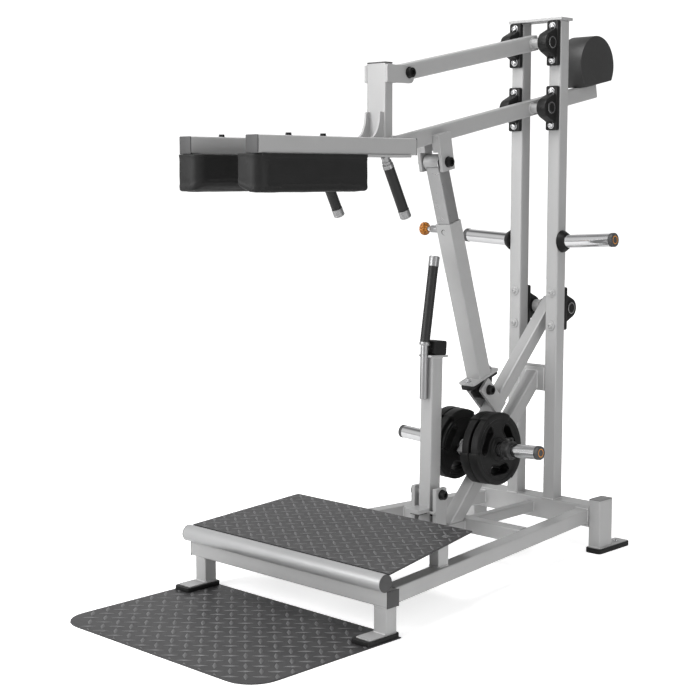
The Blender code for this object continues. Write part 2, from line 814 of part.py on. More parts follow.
def bearings():
    for side, name in ((1, "right"), (-1, "left")):
        x = (side * BLOCK_IN, side * BLOCK_OUT, side * RING_IN, side * RING_OUT)
        bearing("upper_bearing_" + name, pivot(UPPER_REAR), -Y, Z, *x, BORE_R)
        bearing("lower_bearing_" + name, pivot(LOWER_REAR), -Y, Z, *x, BORE_R)
        bearing("lever_bearing_" + name, pivot(LEVER_REAR), Y, Z, *x, BORE_R)


def arm_direction():
    return Vector((0, 1, ARM_SLOPE)).normalized()


def shaft(pair, boss_r, thin_half=SHAFT_END):
    """A boss between the bearings with the shaft's two ends in them."""
    long = thin_half - BOSS_HALF
    profile = [
        (0, SHAFT_R),
        (long, SHAFT_R),
        (long + 0.0002, boss_r),
        (long + 2 * BOSS_HALF - 0.0002, boss_r),
        (long + 2 * BOSS_HALF, SHAFT_R),
        (2 * thin_half, SHAFT_R),
    ]
    return turned(at(-thin_half, *pair), X, profile)


def upper_arm():
    along = arm_direction()
    rear = pivot(UPPER_REAR)
    front = pivot(UPPER_FRONT)
    tube = beam(front - along * ARM_NOSE, rear + along * ARM_NOSE, X, ARM_WIDTH, ARM_DEPTH)
    bush = cross_rod(UPPER_FRONT, BUSH_HALF, BOSS_R)
    bore = cross_rod(UPPER_FRONT, 0.06, BUSH_BORE_R, 12)
    piece("upper_arm", "satin_grey", tube, [shaft(UPPER_REAR, ARM_HUB_R), bush], [bore], rear)


def arm_frame_point(x, s, n):
    """A point s along the lower arm and n above its middle line, from the foot of the link's pin."""
    along = arm_direction()
    normal = Vector((0, -along.z, along.y))
    front = pivot(LOWER_FRONT)
    reach = (pivot(LINK_TOP) - front).dot(along)
    return front + along * (reach + s) + normal * n + X * x


def link_drop():
    along = arm_direction()
    normal = Vector((0, -along.z, along.y))
    return (pivot(LINK_TOP) - pivot(LOWER_FRONT)).dot(normal)


def lower_arm():
    along = arm_direction()
    rear = pivot(LOWER_REAR)
    front = pivot(LOWER_FRONT)
    tail = rear + along * ((ARM_TAIL_Y - LOWER_REAR[0]) / along.y)
    tube = beam(front - along * ARM_NOSE, tail, X, ARM_WIDTH, ARM_DEPTH)
    bush = cross_rod(LOWER_FRONT, BUSH_HALF, BOSS_R)
    joined = [shaft(LOWER_REAR, ARM_HUB_R), bush]
    drop = link_drop()
    low = drop - EAR_BELOW
    cut = 0.0015
    ear = [
        (-EAR_HALF, EAR_ABOVE),
        (EAR_HALF, EAR_ABOVE),
        (EAR_HALF, low + cut),
        (EAR_HALF - cut, low),
        (-EAR_HALF + cut, low),
        (-EAR_HALF, low + cut),
    ]
    spacer = [(-EAR_HALF + 0.001, EAR_ABOVE - 0.001), (EAR_HALF - 0.001, EAR_ABOVE - 0.001)]
    spacer += [(EAR_HALF - 0.001, -SPACER_DOWN), (-EAR_HALF + 0.001, -SPACER_DOWN)]
    for side in (1, -1):
        for outline, x_from, x_to in ((spacer, 0.018, EAR_IN + 0.004), (ear, EAR_IN, EAR_OUT)):
            rings = [[arm_frame_point(side * x, s, n) for s, n in outline] for x in (x_from, x_to)]
            joined.append(loft(rings))
    joined.append(domed_bolt(LINK_TOP, EAR_OUT - 0.001))
    bore = cross_rod(LOWER_FRONT, 0.06, BUSH_BORE_R, 12)
    piece("lower_arm", "satin_grey", tube, joined, [bore], rear)


def counterweight():
    along = arm_direction()
    normal = Vector((0, -along.z, along.y))
    centre = at(0, COUNTER_Y, COUNTER_Z)
    flat_at = (centre - pivot(LOWER_REAR)).dot(normal) - ARM_DEPTH / 2 - GAP
    start = math.acos(flat_at / COUNTER_R)
    steps = 40
    rings = []
    for x in (-COUNTER_HALF, COUNTER_HALF):
        ring = []
        for i in range(steps + 1):
            angle = start + (2 * math.pi - 2 * start) * i / steps
            out = along * math.sin(angle) - normal * math.cos(angle)
            ring.append(centre + out * COUNTER_R + X * x)
        rings.append(ring)
    piece("counterweight", "black_steel", loft(rings), origin=pivot(LOWER_REAR))


def cheek(bottom, top, front, side):
    """A clevis plate of the pad frame, rounded at its rear end."""
    corner = 0.018
    outline = [(front, bottom), (CHEEK_REAR - corner, bottom)]
    for i in range(1, 4):
        angle = math.pi / 2 * i / 4
        rise = bottom + corner - corner * math.cos(angle)
        outline.append((CHEEK_REAR - corner + corner * math.sin(angle), rise))
    outline += [(CHEEK_REAR, bottom + corner), (CHEEK_REAR, top - corner)]
    for i in range(1, 4):
        angle = math.pi / 2 * i / 4
        rise = top - corner + corner * math.sin(angle)
        outline.append((CHEEK_REAR - corner + corner * math.cos(angle), rise))
    outline += [(CHEEK_REAR - corner, top), (front, top)]
    return slab(outline, side * (COLUMN_HALF - 0.0002), side * CHEEK_OUT)


def gusset(side):
    inside = COLUMN_FRONT + 0.004
    outline = [(inside, BEAM_TOP - 0.004), (inside, GUSSET_TOP), (COLUMN_FRONT, GUSSET_TOP)]
    foot = BEAM_TOP + 0.004
    for i in range(7):
        angle = math.pi / 2 * i / 6
        lip = COLUMN_FRONT - GUSSET_LIP
        y = lip - (lip - GUSSET_FRONT) * (1 - math.cos(angle))
        z = foot + (GUSSET_TOP - foot) * (1 - math.sin(angle))
        outline.append((y, z))
    outline.append((GUSSET_FRONT, BEAM_TOP - 0.004))
    return slab(outline, side * GUSSET_IN, side * GUSSET_OUT)


def pad_frame():
    origin = pivot(LOWER_FRONT)
    half = PAD_ARM_IN - GAP
    body = block(at(-half, BEAM_FRONT, BEAM_BOTTOM), at(half, COLUMN_REAR, BEAM_TOP), TUBE_CORNER, X)
    low = at(-COLUMN_HALF, COLUMN_FRONT, BEAM_TOP - 0.02)
    column = block(low, at(COLUMN_HALF, COLUMN_REAR - 0.0002, COLUMN_TOP), 0.004)
    low = at(-COLUMN_HALF + 0.001, COLUMN_FRONT + 0.001, COLUMN_TOP - 0.004)
    cap = block(low, at(COLUMN_HALF - 0.001, COLUMN_REAR - 0.001, COLUMN_CAP_TOP), 0.004)
    joined = [column, cap]
    for side in (1, -1):
        joined.append(cheek(UPPER_CHEEK_BOTTOM, UPPER_CHEEK_TOP, COLUMN_FRONT + 0.0005, side))
        joined.append(cheek(LOWER_CHEEK_BOTTOM, LOWER_CHEEK_TOP, COLUMN_REAR - 0.012, side))
        joined.append(gusset(side))
    joined.append(domed_bolt(UPPER_FRONT, CHEEK_OUT - 0.001))
    joined.append(domed_bolt(LOWER_FRONT, CHEEK_OUT - 0.001))
    piece("pad_frame", "satin_grey", body, joined, (), origin)


def pad_arm(side, name):
    start = at(side * PAD_ARM_IN, PAD_ARM_FRONT, PAD_ARM_BOTTOM)
    arm = block(start, at(side * PAD_ARM_OUT, PAD_ARM_REAR, PAD_ARM_TOP), TUBE_CORNER, Y)
    start = at(side * BOARD_IN, BOARD_FRONT, BOARD_BOTTOM)
    board = block(start, at(side * BOARD_OUT, BOARD_REAR, PAD_ARM_BOTTOM + 0.0004), 0.004)
    piece("pad_arm_" + name, "satin_grey", arm, [board], (), pivot(LOWER_FRONT))


def pad_floor(x):
    """Height of the pad's underside: it rises toward the neck."""
    share = min(1.0, max(0.0, (abs(x) - PAD_IN) / (PAD_FLAT_FROM - PAD_IN)))
    return PAD_INNER_BOTTOM + (PAD_BOTTOM - PAD_INNER_BOTTOM) * math.sin(share * math.pi / 2)


def pad_outline(inset, side):
    """The pad's outline in (x, y), drawn in by inset; both pads are round at the same front corner."""
    outer_nose, inner_nose = (PAD_ROUND_R, PAD_SHARP_R) if side > 0 else (PAD_SHARP_R, PAD_ROUND_R)
    left, right = PAD_IN + inset, PAD_OUT - inset
    front, rear = PAD_FRONT + inset, PAD_REAR - inset
    points = []
    corners = (
        (right, rear, -1, -1, PAD_TAIL_R, 0),
        (left, rear, 1, -1, PAD_TAIL_R, 1),
        (left, front, 1, 1, inner_nose, 2),
        (right, front, -1, 1, outer_nose, 3),
    )
    for x, y, to_x, to_y, radius, quarter in corners:
        radius = max(0.004, radius - inset)
        steps = 6
        for i in range(steps + 1):
            angle = math.pi / 2 * (quarter + i / steps)
            along_x = x + to_x * radius + radius * math.cos(angle)
            points.append((along_x, y + to_y * radius + radius * math.sin(angle)))
    return points


def pad(side, name):
    """A cushion: sides drawn in a little at the seams and a crowned underside."""
    levels = (
        (0.0055, 1.0, 0.0),
        (0.0015, 0.97, 0.0),
        (0.0008, 0.88, 0.0),
        (0.0, 0.5, 0.0),
        (0.0008, 0.16, 0.0),
        (0.003, 0.07, 0.0),
        (0.008, 0.02, 0.0),
        (0.018, 0.0, 0.0),
        (0.032, 0.0, -0.0008),
    )
    rings = []
    for inset, share, drop in levels:
        ring = []
        for x, y in pad_outline(inset, side):
            low = pad_floor(x)
            z = PAD_TOP if share == 1.0 else low + (PAD_TOP - low) * share + 0.0008 + drop
            ring.append(at(side * x, y, z))
        rings.append(ring)
    piece("pad_" + name, "leather", loft(rings), origin=pivot(LOWER_FRONT))


def grip(side, name):
    top = at(side * GRIP_X, GRIP_TOP_Y, GRIP_TOP_Z)
    end = at(side * GRIP_X, GRIP_END_Y, GRIP_END_Z)
    along = (end - top).normalized()
    start = top - along * ((BOARD_BOTTOM - GAP - GRIP_TOP_Z) / -along.z)
    long = (end - start).length
    profile = [
        (0, GRIP_COLLAR_R),
        (GRIP_COLLAR_LONG, GRIP_COLLAR_R),
        (GRIP_COLLAR_LONG + 0.0002, GRIP_R),
        (long - GRIP_CAP_LONG, GRIP_R),
        (long - GRIP_CAP_LONG + 0.0002, GRIP_CAP_R),
        (long - 0.003, GRIP_CAP_R),
        (long, GRIP_CAP_R - 0.003),
    ]
    piece("grip_" + name, "rubber", turned(start, along, profile, 16, Z), origin=pivot(LOWER_FRONT))


def link_axis():
    return (pivot(LINK_FOOT) - pivot(LINK_TOP)).normalized()


def push_link():
    top = pivot(LINK_TOP)
    foot = pivot(LINK_FOOT)
    along = link_axis()
    bush = cross_rod(LINK_TOP, LINK_BUSH_HALF, LINK_BUSH_R)
    inner_start = top + along * LINK_INNER_FROM
    inner = beam(inner_start, top + along * (LINK_SLEEVE_FROM - GAP), X, LINK_INNER - 0.0004, LINK_INNER - 0.0004)
    bore = cross_rod(LINK_TOP, 0.06, BUSH_BORE_R, 12)
    piece("link_inner", "satin_grey", bush, [inner], [bore], top)
    seat = LINK_LONG - BLOCK_BORE
    outer = beam(top + along * LINK_SLEEVE_FROM, top + along * (seat - FLANGE_THICK / 2), X, LINK_OUTER, LINK_OUTER)
    flange = beam(top + along * (seat - FLANGE_THICK), top + along * seat, X, FLANGE_WIDE, FLANGE_LONG, 0.008)
    at_pin = top + along * PIN_ALONG
    sleeve = rod(at_pin - X * 0.02, at_pin - X * PIN_SLEEVE_END, PIN_SLEEVE_R)
    hole = rod(at_pin - X * (PIN_DEEP - 0.002), at_pin - X * (PIN_SLEEVE_END + 0.01), PIN_BORE_R, 16)
    piece("link_outer", "satin_grey", outer, [flange, sleeve], [hole], top)
    across = X.cross(along)
    bearing(
        "link_bearing",
        foot,
        along,
        across,
        -LINK_BLOCK_HALF,
        LINK_BLOCK_HALF,
        -LINK_BLOCK_HALF + 0.0005,
        LINK_BLOCK_HALF - 0.0005,
        OPEN_BORE_R,
        top,
    )
    plunger = [
        (PIN_DEEP, PIN_R),
        (KNOB_START, PIN_R),
        (KNOB_START + 0.0002, 0.012),
        (KNOB_START + 0.006, 0.014),
        (KNOB_START + 0.012, KNOB_R),
        (KNOB_END - 0.006, KNOB_R),
        (KNOB_END - 0.002, KNOB_R - 0.003),
        (KNOB_END, KNOB_R - 0.009),
    ]
    piece("pull_pin", "orange", turned(at_pin, -X, plunger, 16), origin=at_pin)


def lever_direction():
    return Vector((0, 1, LEVER_SLOPE)).normalized()


def lever():
    rear = pivot(LEVER_REAR)
    along = lever_direction()
    normal = Vector((0, -along.z, along.y))
    reach = (rear - at(0, LOAD_Y, LOAD_Z)).dot(along)
    tube = beam(rear - along * (reach + LEVER_NOSE), rear + along * LEVER_BACK, X, LEVER_TUBE, LEVER_TUBE)
    pin = pivot(LINK_FOOT)
    height = (pin - rear).dot(normal)
    pin_along = (pin - rear).dot(along)
    rise = height + SIDE_RISE
    outline = [
        (-SIDE_AHEAD, -SIDE_SINK),
        (SIDE_BEHIND, -SIDE_SINK),
        (SIDE_BEHIND, rise - SIDE_CHAMFER),
        (SIDE_BEHIND - SIDE_CHAMFER, rise),
        (-SIDE_AHEAD + SIDE_CHAMFER, rise),
        (-SIDE_AHEAD, rise - SIDE_CHAMFER),
    ]
    joined = [shaft(LEVER_REAR, LEVER_BOSS_R)]
    for side in (1, -1):
        rings = []
        for x in (LEVER_TUBE / 2 - 0.0005, SIDE_OUT):
            ring = []
            for s, n in outline:
                ring.append(rear + along * (pin_along + s) + normal * n + X * (side * x))
            rings.append(ring)
        joined.append(loft(rings))
    joined.append(domed_bolt(LINK_FOOT, SIDE_OUT - 0.001, LINK_PIN_R))
    piece("lever", "satin_grey", tube, joined, (), rear)


def load_on(side, name):
    """The horn's two rubber plates and the clip that keeps them on it."""
    rear = pivot(LEVER_REAR)
    root = LEVER_TUBE / 2 + GAP
    cone_end = LOAD_COLLAR_END if side > 0 else None
    first = PLATE_FIRST_RIGHT if side > 0 else PLATE_FIRST_LEFT
    ends = (root, cone_end, LOAD_TUBE_END, LOAD_TIP)
    horn("lever_horn_" + name, side, LOAD_Y, LOAD_Z, *ends, LOAD_R, LOAD_CAP_R, rear)
    axis = horn_axis(side)
    for i, place in enumerate(("inner", "outer")):
        start = horn_point(first + i * (PLATE_WIDE + GAP), LOAD_Y, LOAD_Z, side)
        loop = [
            (0, PLATE_BORE_R),
            (PLATE_WIDE, PLATE_BORE_R),
            (PLATE_WIDE, PLATE_HUB_R),
            (PLATE_WIDE - PLATE_DISH, PLATE_HUB_R + 0.004),
            (PLATE_WIDE - PLATE_DISH, PLATE_RIM - 0.004),
            (PLATE_WIDE, PLATE_RIM),
            (PLATE_WIDE - 0.001, PLATE_R),
            (0.001, PLATE_R),
            (0, PLATE_RIM),
        ]
        body = ring_solid(start, axis, loop, 28)
        slots = [slot(start, axis, turn) for turn in range(3)]
        piece(f"{place}_plate_{name}", "rubber", body, (), slots, horn_point(0, LOAD_Y, LOAD_Z, side))
    start = horn_point(first + CLIP_AFTER, LOAD_Y, LOAD_Z, side)
    bore = LOAD_CAP_R + GAP
    loop = [
        (0, bore),
        (CLIP_LONG, bore),
        (CLIP_LONG, CLIP_R - 0.003),
        (CLIP_LONG - 0.003, CLIP_R),
        (0.003, CLIP_R),
        (0, CLIP_R - 0.003),
    ]
    clip = ring_solid(start, axis, loop, 20)
    piece("clip_" + name, "black_steel", clip, origin=horn_point(0, LOAD_Y, LOAD_Z, side))


def slot(start, axis, turn):
    """A curved grip slot through a plate."""
    first, second = across_axes(axis)
    middle = math.pi / 2 + turn * 2 * math.pi / 3
    steps = 3
    rings = []
    for depth in (-0.01, PLATE_WIDE + 0.01):
        ring = []
        for radius, order in ((SLOT_RADIUS + SLOT_HALF, 1), (SLOT_RADIUS - SLOT_HALF, -1)):
            for i in range(steps + 1):
                share = i / steps if order > 0 else 1 - i / steps
                angle = middle + SLOT_SWEEP * (share - 0.5)
                out = first * math.cos(angle) + second * math.sin(angle)
                ring.append(start + axis * depth + out * radius)
            end = middle + SLOT_SWEEP / 2 * order
            nose = end + order * SLOT_HALF * 0.8 / SLOT_RADIUS
            out = first * math.cos(nose) + second * math.sin(nose)
            ring.append(start + axis * depth + out * SLOT_RADIUS)
        rings.append(ring)
    return loft(rings)


def post_base():
    """The clevis that the stop post turns in, with its bolt, its stop rod and the shelf in front."""
    low = at(-BASE_HALF, BASE_FRONT, FRONT_CENTRE_TOP + GAP / 2)
    base = block(low, at(BASE_HALF, BASE_REAR, FRONT_CENTRE_TOP + BASE_THICK), 0.004)
    joined = []
    cut = 0.0015
    outline = [
        (CLEVIS_FRONT, FRONT_CENTRE_TOP + 0.002),
        (CLEVIS_REAR, FRONT_CENTRE_TOP + 0.002),
        (CLEVIS_REAR, CLEVIS_TOP - cut),
        (CLEVIS_REAR - cut, CLEVIS_TOP),
        (CLEVIS_FRONT + cut, CLEVIS_TOP),
        (CLEVIS_FRONT, CLEVIS_TOP - cut),
    ]
    for side in (1, -1):
        joined.append(slab(outline, side * CLEVIS_IN, side * CLEVIS_OUT))
        washer_in = at(side * (POST_HALF + 0.0008), *POST_FOOT)
        joined.append(rod(washer_in, at(side * (CLEVIS_IN + 0.002), *POST_FOOT), 0.014))
    joined.append(domed_bolt(POST_FOOT, CLEVIS_OUT - 0.001))
    joined.append(cross_rod((STOP_ROD_Y, STOP_ROD_Z), CLEVIS_OUT - 0.001, STOP_ROD_R, 12))
    low = at(SHELF_LEFT, SHELF_FRONT, SHELF_BOTTOM)
    joined.append(block(low, at(SHELF_RIGHT, SHELF_REAR, SHELF_TOP), 0.004))
    piece("post_clevis", "satin_grey", base, joined)


def leaned(bm, pair, angle):
    """Turns a shape about a cross axis, so that its top goes to the rear."""
    place = Matrix.Translation(pivot(pair))
    turn = place @ Matrix.Rotation(-angle, 4, "X") @ place.inverted()
    bmesh.ops.transform(bm, matrix=turn, verts=bm.verts)
    return bm


def with_post(bm):
    """Leans a shape back with the post."""
    return leaned(bm, POST_FOOT, POST_LEAN)


def on_crown(bm):
    """Sets a shape on the slanted top of the leaning post."""
    bmesh.ops.translate(bm, vec=Z * CROWN_LIFT, verts=bm.verts)
    middle = ((CROWN_FRONT + CROWN_REAR) / 2, CROWN_TOP + CROWN_LIFT)
    return with_post(leaned(bm, middle, CROWN_TILT))


def stop_post():
    origin = pivot(POST_FOOT)
    post = block(at(-POST_HALF, POST_FRONT, POST_BOTTOM), at(POST_HALF, POST_REAR, POST_TOP), TUBE_CORNER)
    crown_low = at(-CROWN_HALF, CROWN_FRONT, CROWN_TOP - CROWN_THICK)
    crown = block(crown_low, at(CROWN_HALF, CROWN_REAR, CROWN_TOP), 0.005)
    bore = cross_rod(POST_FOOT, 0.05, BUSH_BORE_R, 12)
    notch_start = at(HANDLE_X, HANDLE_Y, POST_TOP - 0.02)
    notch = rod(notch_start, at(HANDLE_X, HANDLE_Y, CROWN_TOP + 0.02), HANDLE_R + 0.0006)
    piece("stop_post", "satin_grey", with_post(post), [on_crown(crown)], [bore, with_post(notch)], origin)
    low = at(-BUMPER_HALF, BUMPER_FRONT, CROWN_TOP + GAP)
    bumper = block(low, at(BUMPER_HALF, BUMPER_REAR, BUMPER_TOP), 0.006, X)
    piece("post_bumper", "rubber", on_crown(bumper), origin=origin)
    foot = at(HANDLE_X, HANDLE_Y, HANDLE_BOTTOM)
    lower = rod(foot, at(HANDLE_X, HANDLE_Y, HANDLE_BEND + 0.003), HANDLE_R)
    bend = at(HANDLE_X, HANDLE_Y, HANDLE_BEND)
    lean = at(HANDLE_X, HANDLE_Y + HANDLE_LEAN, HANDLE_TOP) - bend
    grip_profile = [
        (0, HANDLE_R - 0.0005),
        (0.008, HANDLE_R - 0.0005),
        (0.0082, HANDLE_GRIP_R),
        (lean.length - 0.034, HANDLE_GRIP_R),
        (lean.length - 0.0338, HANDLE_GRIP_R + 0.001),
        (lean.length - 0.003, HANDLE_GRIP_R + 0.001),
        (lean.length, HANDLE_GRIP_R - 0.002),
    ]
    grip_bar = turned(bend, lean, grip_profile)
    piece("post_handle", "chrome", with_post(lower), [with_post(grip_bar)], (), origin)


def build():
    floor_mat()
    front_tubes()
    platform()
    centre_rails()
    uprights()
    rear_base()
    bearings()
    for side, name in ((1, "right"), (-1, "left")):
        side_rail(side, name)
        rear_leg(side, name)
        front_leg(side, name)
        store = ("storage_horn_" + name, side, STORE_Y, STORE_Z, UP_OUT + GAP, STORE_CONE_END, STORE_TUBE_END)
        horn(*store, STORE_TIP, STORE_R, STORE_CAP_R, None)
        pad_arm(side, name)
        pad(side, name)
        grip(side, name)
        load_on(side, name)
    upper_arm()
    lower_arm()
    counterweight()
    pad_frame()
    push_link()
    lever()
    post_base()
    stop_post()


clear_scene()
PARTS = collection("squat_machine", False)
TOOLS = collection("tools", True)
build()
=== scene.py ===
import json
import math

import bmesh
import bpy
from mathutils import Matrix, Vector


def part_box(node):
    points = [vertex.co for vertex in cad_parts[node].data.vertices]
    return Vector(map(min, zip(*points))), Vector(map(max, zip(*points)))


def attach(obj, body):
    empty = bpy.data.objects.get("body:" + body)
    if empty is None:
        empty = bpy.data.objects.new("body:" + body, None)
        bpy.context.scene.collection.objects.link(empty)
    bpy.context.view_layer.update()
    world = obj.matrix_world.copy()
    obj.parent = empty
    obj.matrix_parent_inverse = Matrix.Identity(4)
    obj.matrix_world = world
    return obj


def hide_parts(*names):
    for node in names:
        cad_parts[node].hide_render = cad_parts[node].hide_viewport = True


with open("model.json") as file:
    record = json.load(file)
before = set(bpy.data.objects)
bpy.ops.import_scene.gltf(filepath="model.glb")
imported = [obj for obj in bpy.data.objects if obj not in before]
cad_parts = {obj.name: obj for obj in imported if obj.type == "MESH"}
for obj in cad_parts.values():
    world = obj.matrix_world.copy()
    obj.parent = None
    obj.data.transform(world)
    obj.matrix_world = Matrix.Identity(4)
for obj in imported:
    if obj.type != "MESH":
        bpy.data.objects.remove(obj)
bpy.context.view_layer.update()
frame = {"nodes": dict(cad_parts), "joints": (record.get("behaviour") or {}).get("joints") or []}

X = Vector((1, 0, 0))
Y = Vector((0, 1, 0))
Z = Vector((0, 0, 1))
SIDES = ((1, "right"), (-1, "left"))

# Places below are given with Y counted rearward from near the floor mat's rear edge.
MAT_FRONT = -0.594
MIDDLE_Y = MAT_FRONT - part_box("floor_mat")[0].y


def at(x, y, z):
    return Vector((x, y - MIDDLE_Y, z))


POST_LEAN = Matrix.Rotation(math.radians(-1.4), 3, "X")


def leaning(point):
    """A place on the stop post, which leans back a little when it stands."""
    return POST_FOOT + POST_LEAN @ (point - POST_FOOT)


def hinge(name):
    for joint in frame["joints"]:
        if joint["name"] == name:
            return Vector(joint["pos_m"])


UPPER_REAR = hinge("upper_arm_hinge")
LOWER_REAR = hinge("lower_arm_hinge")
LOWER_FRONT = hinge("pad_frame_hinge")
UPPER_FRONT = LOWER_FRONT + UPPER_REAR - LOWER_REAR
LEVER_REAR = hinge("lever_hinge")
LINK_TOP = hinge("link_hinge")
LINK_FOOT = at(0, 0.919, 0.600)
POST_FOOT = hinge("post_hinge")
LINK_ALONG = (LINK_FOOT - LINK_TOP).normalized()
LINK_FRONT = X.cross(LINK_ALONG)


# camera, floor and lights
def stand_camera():
    """The photographer's place: 44 degrees round to the right, a little above the pads' height."""
    yaw, pitch, roll = (math.radians(angle) for angle in (43.82, 6.91, -0.062))
    forward = Vector((-math.sin(yaw) * math.cos(pitch), math.cos(yaw) * math.cos(pitch), -math.sin(pitch)))
    level = Vector((math.cos(yaw), math.sin(yaw), 0))
    upward = level.cross(forward)
    right = math.cos(roll) * level + math.sin(roll) * upward
    up = math.cos(roll) * upward - math.sin(roll) * level
    data = bpy.data.cameras.new("photo_camera")
    data.sensor_width = 36
    data.lens = 74.39
    data.shift_x = 0.0011
    data.shift_y = 0.0026
    data.clip_end = 60
    eye = bpy.data.objects.new("photo_camera", data)
    eye.matrix_world = Matrix((right, up, -forward)).transposed().to_4x4()
    eye.matrix_world.translation = at(3.1853, -3.078, 1.350)
    bpy.context.scene.collection.objects.link(eye)
    bpy.context.scene.camera = eye


def soft_box(name, place, target, width, height, power):
    data = bpy.data.lights.new(name, "AREA")
    data.shape = "RECTANGLE"
    data.size = width
    data.size_y = height
    data.energy = power
    lamp = bpy.data.objects.new(name, data)
    lamp.matrix_world = (Vector(target) - Vector(place)).to_track_quat("-Z", "Y").to_matrix().to_4x4()
    lamp.matrix_world.translation = place
    bpy.context.scene.collection.objects.link(lamp)


def feed(tree, node, inputs):
    """Gives each input of a node a plain value or another node's output."""
    for label, value in inputs.items():
        if isinstance(value, bpy.types.NodeSocket):
            tree.links.new(value, node.inputs[label])
        else:
            node.inputs[label].default_value = value
    return node


def added(tree, kind, inputs=None, **settings):
    """A new shader node with its settings and inputs."""
    node = tree.nodes.new("ShaderNode" + kind)
    for name, value in settings.items():
        setattr(node, name, value)
    return feed(tree, node, inputs or {})


def banded(tree, value, stops):
    """Colours along a value from 0 to 1, from (place, colour) stops."""
    node = added(tree, "ValToRGB", {"Fac": value})
    line = node.color_ramp.elements
    for end, (place, colour) in ((0, stops[0]), (1, stops[-1])):
        line[end].position = place
        line[end].color = (*colour, 1)
    for place, colour in stops[1:-1]:
        line.new(place).color = (*colour, 1)
    return node.outputs["Color"]


def spread(tree, value, low, high, start=0.0, stop=1.0, **settings):
    """A value from start to stop, stretched to run from low to high."""
    inputs = {"Value": value, "From Min": start, "From Max": stop, "To Min": low, "To Max": high}
    return added(tree, "MapRange", inputs, **settings).outputs["Result"]


def pale_floor():
    """White paper that shines a little to the camera, less so round the machine's feet."""
    bm = bmesh.new()
    bmesh.ops.create_grid(bm, x_segments=1, y_segments=1, size=12)
    bmesh.ops.translate(bm, verts=bm.verts, vec=(0, 0, -0.0005))
    floor = object_of("studio_floor", bm)
    paper, tree, shader = finish("studio_paper", grey(0.95), 0.9)
    place = added(tree, "TexCoord").outputs["Object"]
    away = added(tree, "VectorMath", {0: place}, operation="LENGTH").outputs["Value"]
    glow = spread(tree, away, 0.62, 1.05, 0.5, 2.0, interpolation_type="SMOOTHSTEP")
    ray = added(tree, "LightPath").outputs
    dim = spread(tree, ray["Is Glossy Ray"], 0.32, 0.04)
    lit = added(tree, "Mix", {"Factor": ray["Is Camera Ray"], "A": dim, "B": glow}).outputs["Result"]
    feed(tree, shader, {"Emission Color": (1, 1, 1, 1), "Emission Strength": lit, "Specular IOR Level": 0.1})
    floor.data.materials.append(paper)


def studio_air():
    """White behind the machine, and round it a pale room that is darker overhead and to the rear."""
    world = bpy.data.worlds.new("studio_air")
    world.use_nodes = True
    bpy.context.scene.world = world
    tree = world.node_tree
    backdrop = feed(tree, tree.nodes["Background"], {"Color": (1, 1, 1, 1), "Strength": 1.15})
    look = added(tree, "TexCoord").outputs["Generated"]
    height = added(tree, "SeparateXYZ", {0: look}).outputs["Z"]
    tones = ((0.0, 0.80), (0.30, 1.0), (0.66, 0.92), (0.84, 0.12), (1.0, 0.10))
    sky = banded(tree, height, [(place, grey(tone)) for place, tone in tones])
    behind = added(tree, "VectorMath", {0: look, 1: (0.69, 0.72, 0)}, operation="DOT_PRODUCT")
    flag = spread(tree, behind.outputs["Value"], 1.0, 0.38, 0.35, 0.95)
    shaded = added(tree, "VectorMath", {0: sky, "Scale": flag}, operation="SCALE").outputs["Vector"]
    air = added(tree, "Background", {"Color": shaded, "Strength": 0.70})
    ray = added(tree, "LightPath").outputs["Is Camera Ray"]
    both = added(tree, "MixShader", {"Fac": ray, 1: air.outputs[0], 2: backdrop.outputs[0]})
    feed(tree, tree.nodes["World Output"], {"Surface": both.outputs[0]})


def studio():
    pale_floor()
    studio_air()
    soft_box("front_box", (-1.6, -4.6, 2.4), (0, 0, 0.9), 3.0, 3.0, 120)
    soft_box("top_box", (-0.2, -1.2, 4.4), (0, 0.2, 0.5), 2.2, 1.6, 105)
    soft_box("side_strip", (4.8, -0.2, 1.9), (0, 0.2, 0.9), 1.4, 3.4, 34)
    bpy.context.scene.view_settings.view_transform = "Standard"


# shader groups that several finishes share
def effect(name, inputs, outputs):
    """An empty shader group with its own sockets, and the nodes at its two ends."""
    tree = bpy.data.node_groups.new(name, "ShaderNodeTree")
    for label, value in inputs:
        socket = tree.interface.new_socket(label, in_out="INPUT", socket_type="NodeSocketFloat")
        socket.default_value = value
    for label, kind in outputs:
        tree.interface.new_socket(label, in_out="OUTPUT", socket_type="NodeSocket" + kind)
    return tree, tree.nodes.new("NodeGroupInput").outputs, tree.nodes.new("NodeGroupOutput")


def maths(tree, operation, first, second, clamp=False):
    return added(tree, "Math", {0: first, 1: second}, operation=operation, use_clamp=clamp).outputs[0]


def cloud(tree, scale, detail, stretch=None):
    """Noise on the piece's own coordinates, stretched where a stretch is given."""
    place = added(tree, "TexCoord").outputs["Object"]
    if stretch:
        place = added(tree, "Mapping", {"Vector": place, "Scale": stretch}).outputs["Vector"]
    return added(tree, "TexNoise", {"Vector": place, "Scale": scale, "Detail": detail}).outputs["Fac"]


def make_coat_skin():
    """Sprayed or moulded skin: a fine pebble for the bump and slow clouds for the tone."""
    outputs = (("Height", "Float"), ("Tone", "Float"), ("Rub", "Float"))
    tree, given, end = effect("coat_skin", (("Pitch", 700.0), ("Cloud", 7.0)), outputs)
    pebble = cloud(tree, given["Pitch"], 2.5)
    slow = cloud(tree, given["Cloud"], 4.0)
    feed(tree, end, {"Height": pebble, "Tone": slow, "Rub": cloud(tree, 60.0, 5.0)})
    return tree


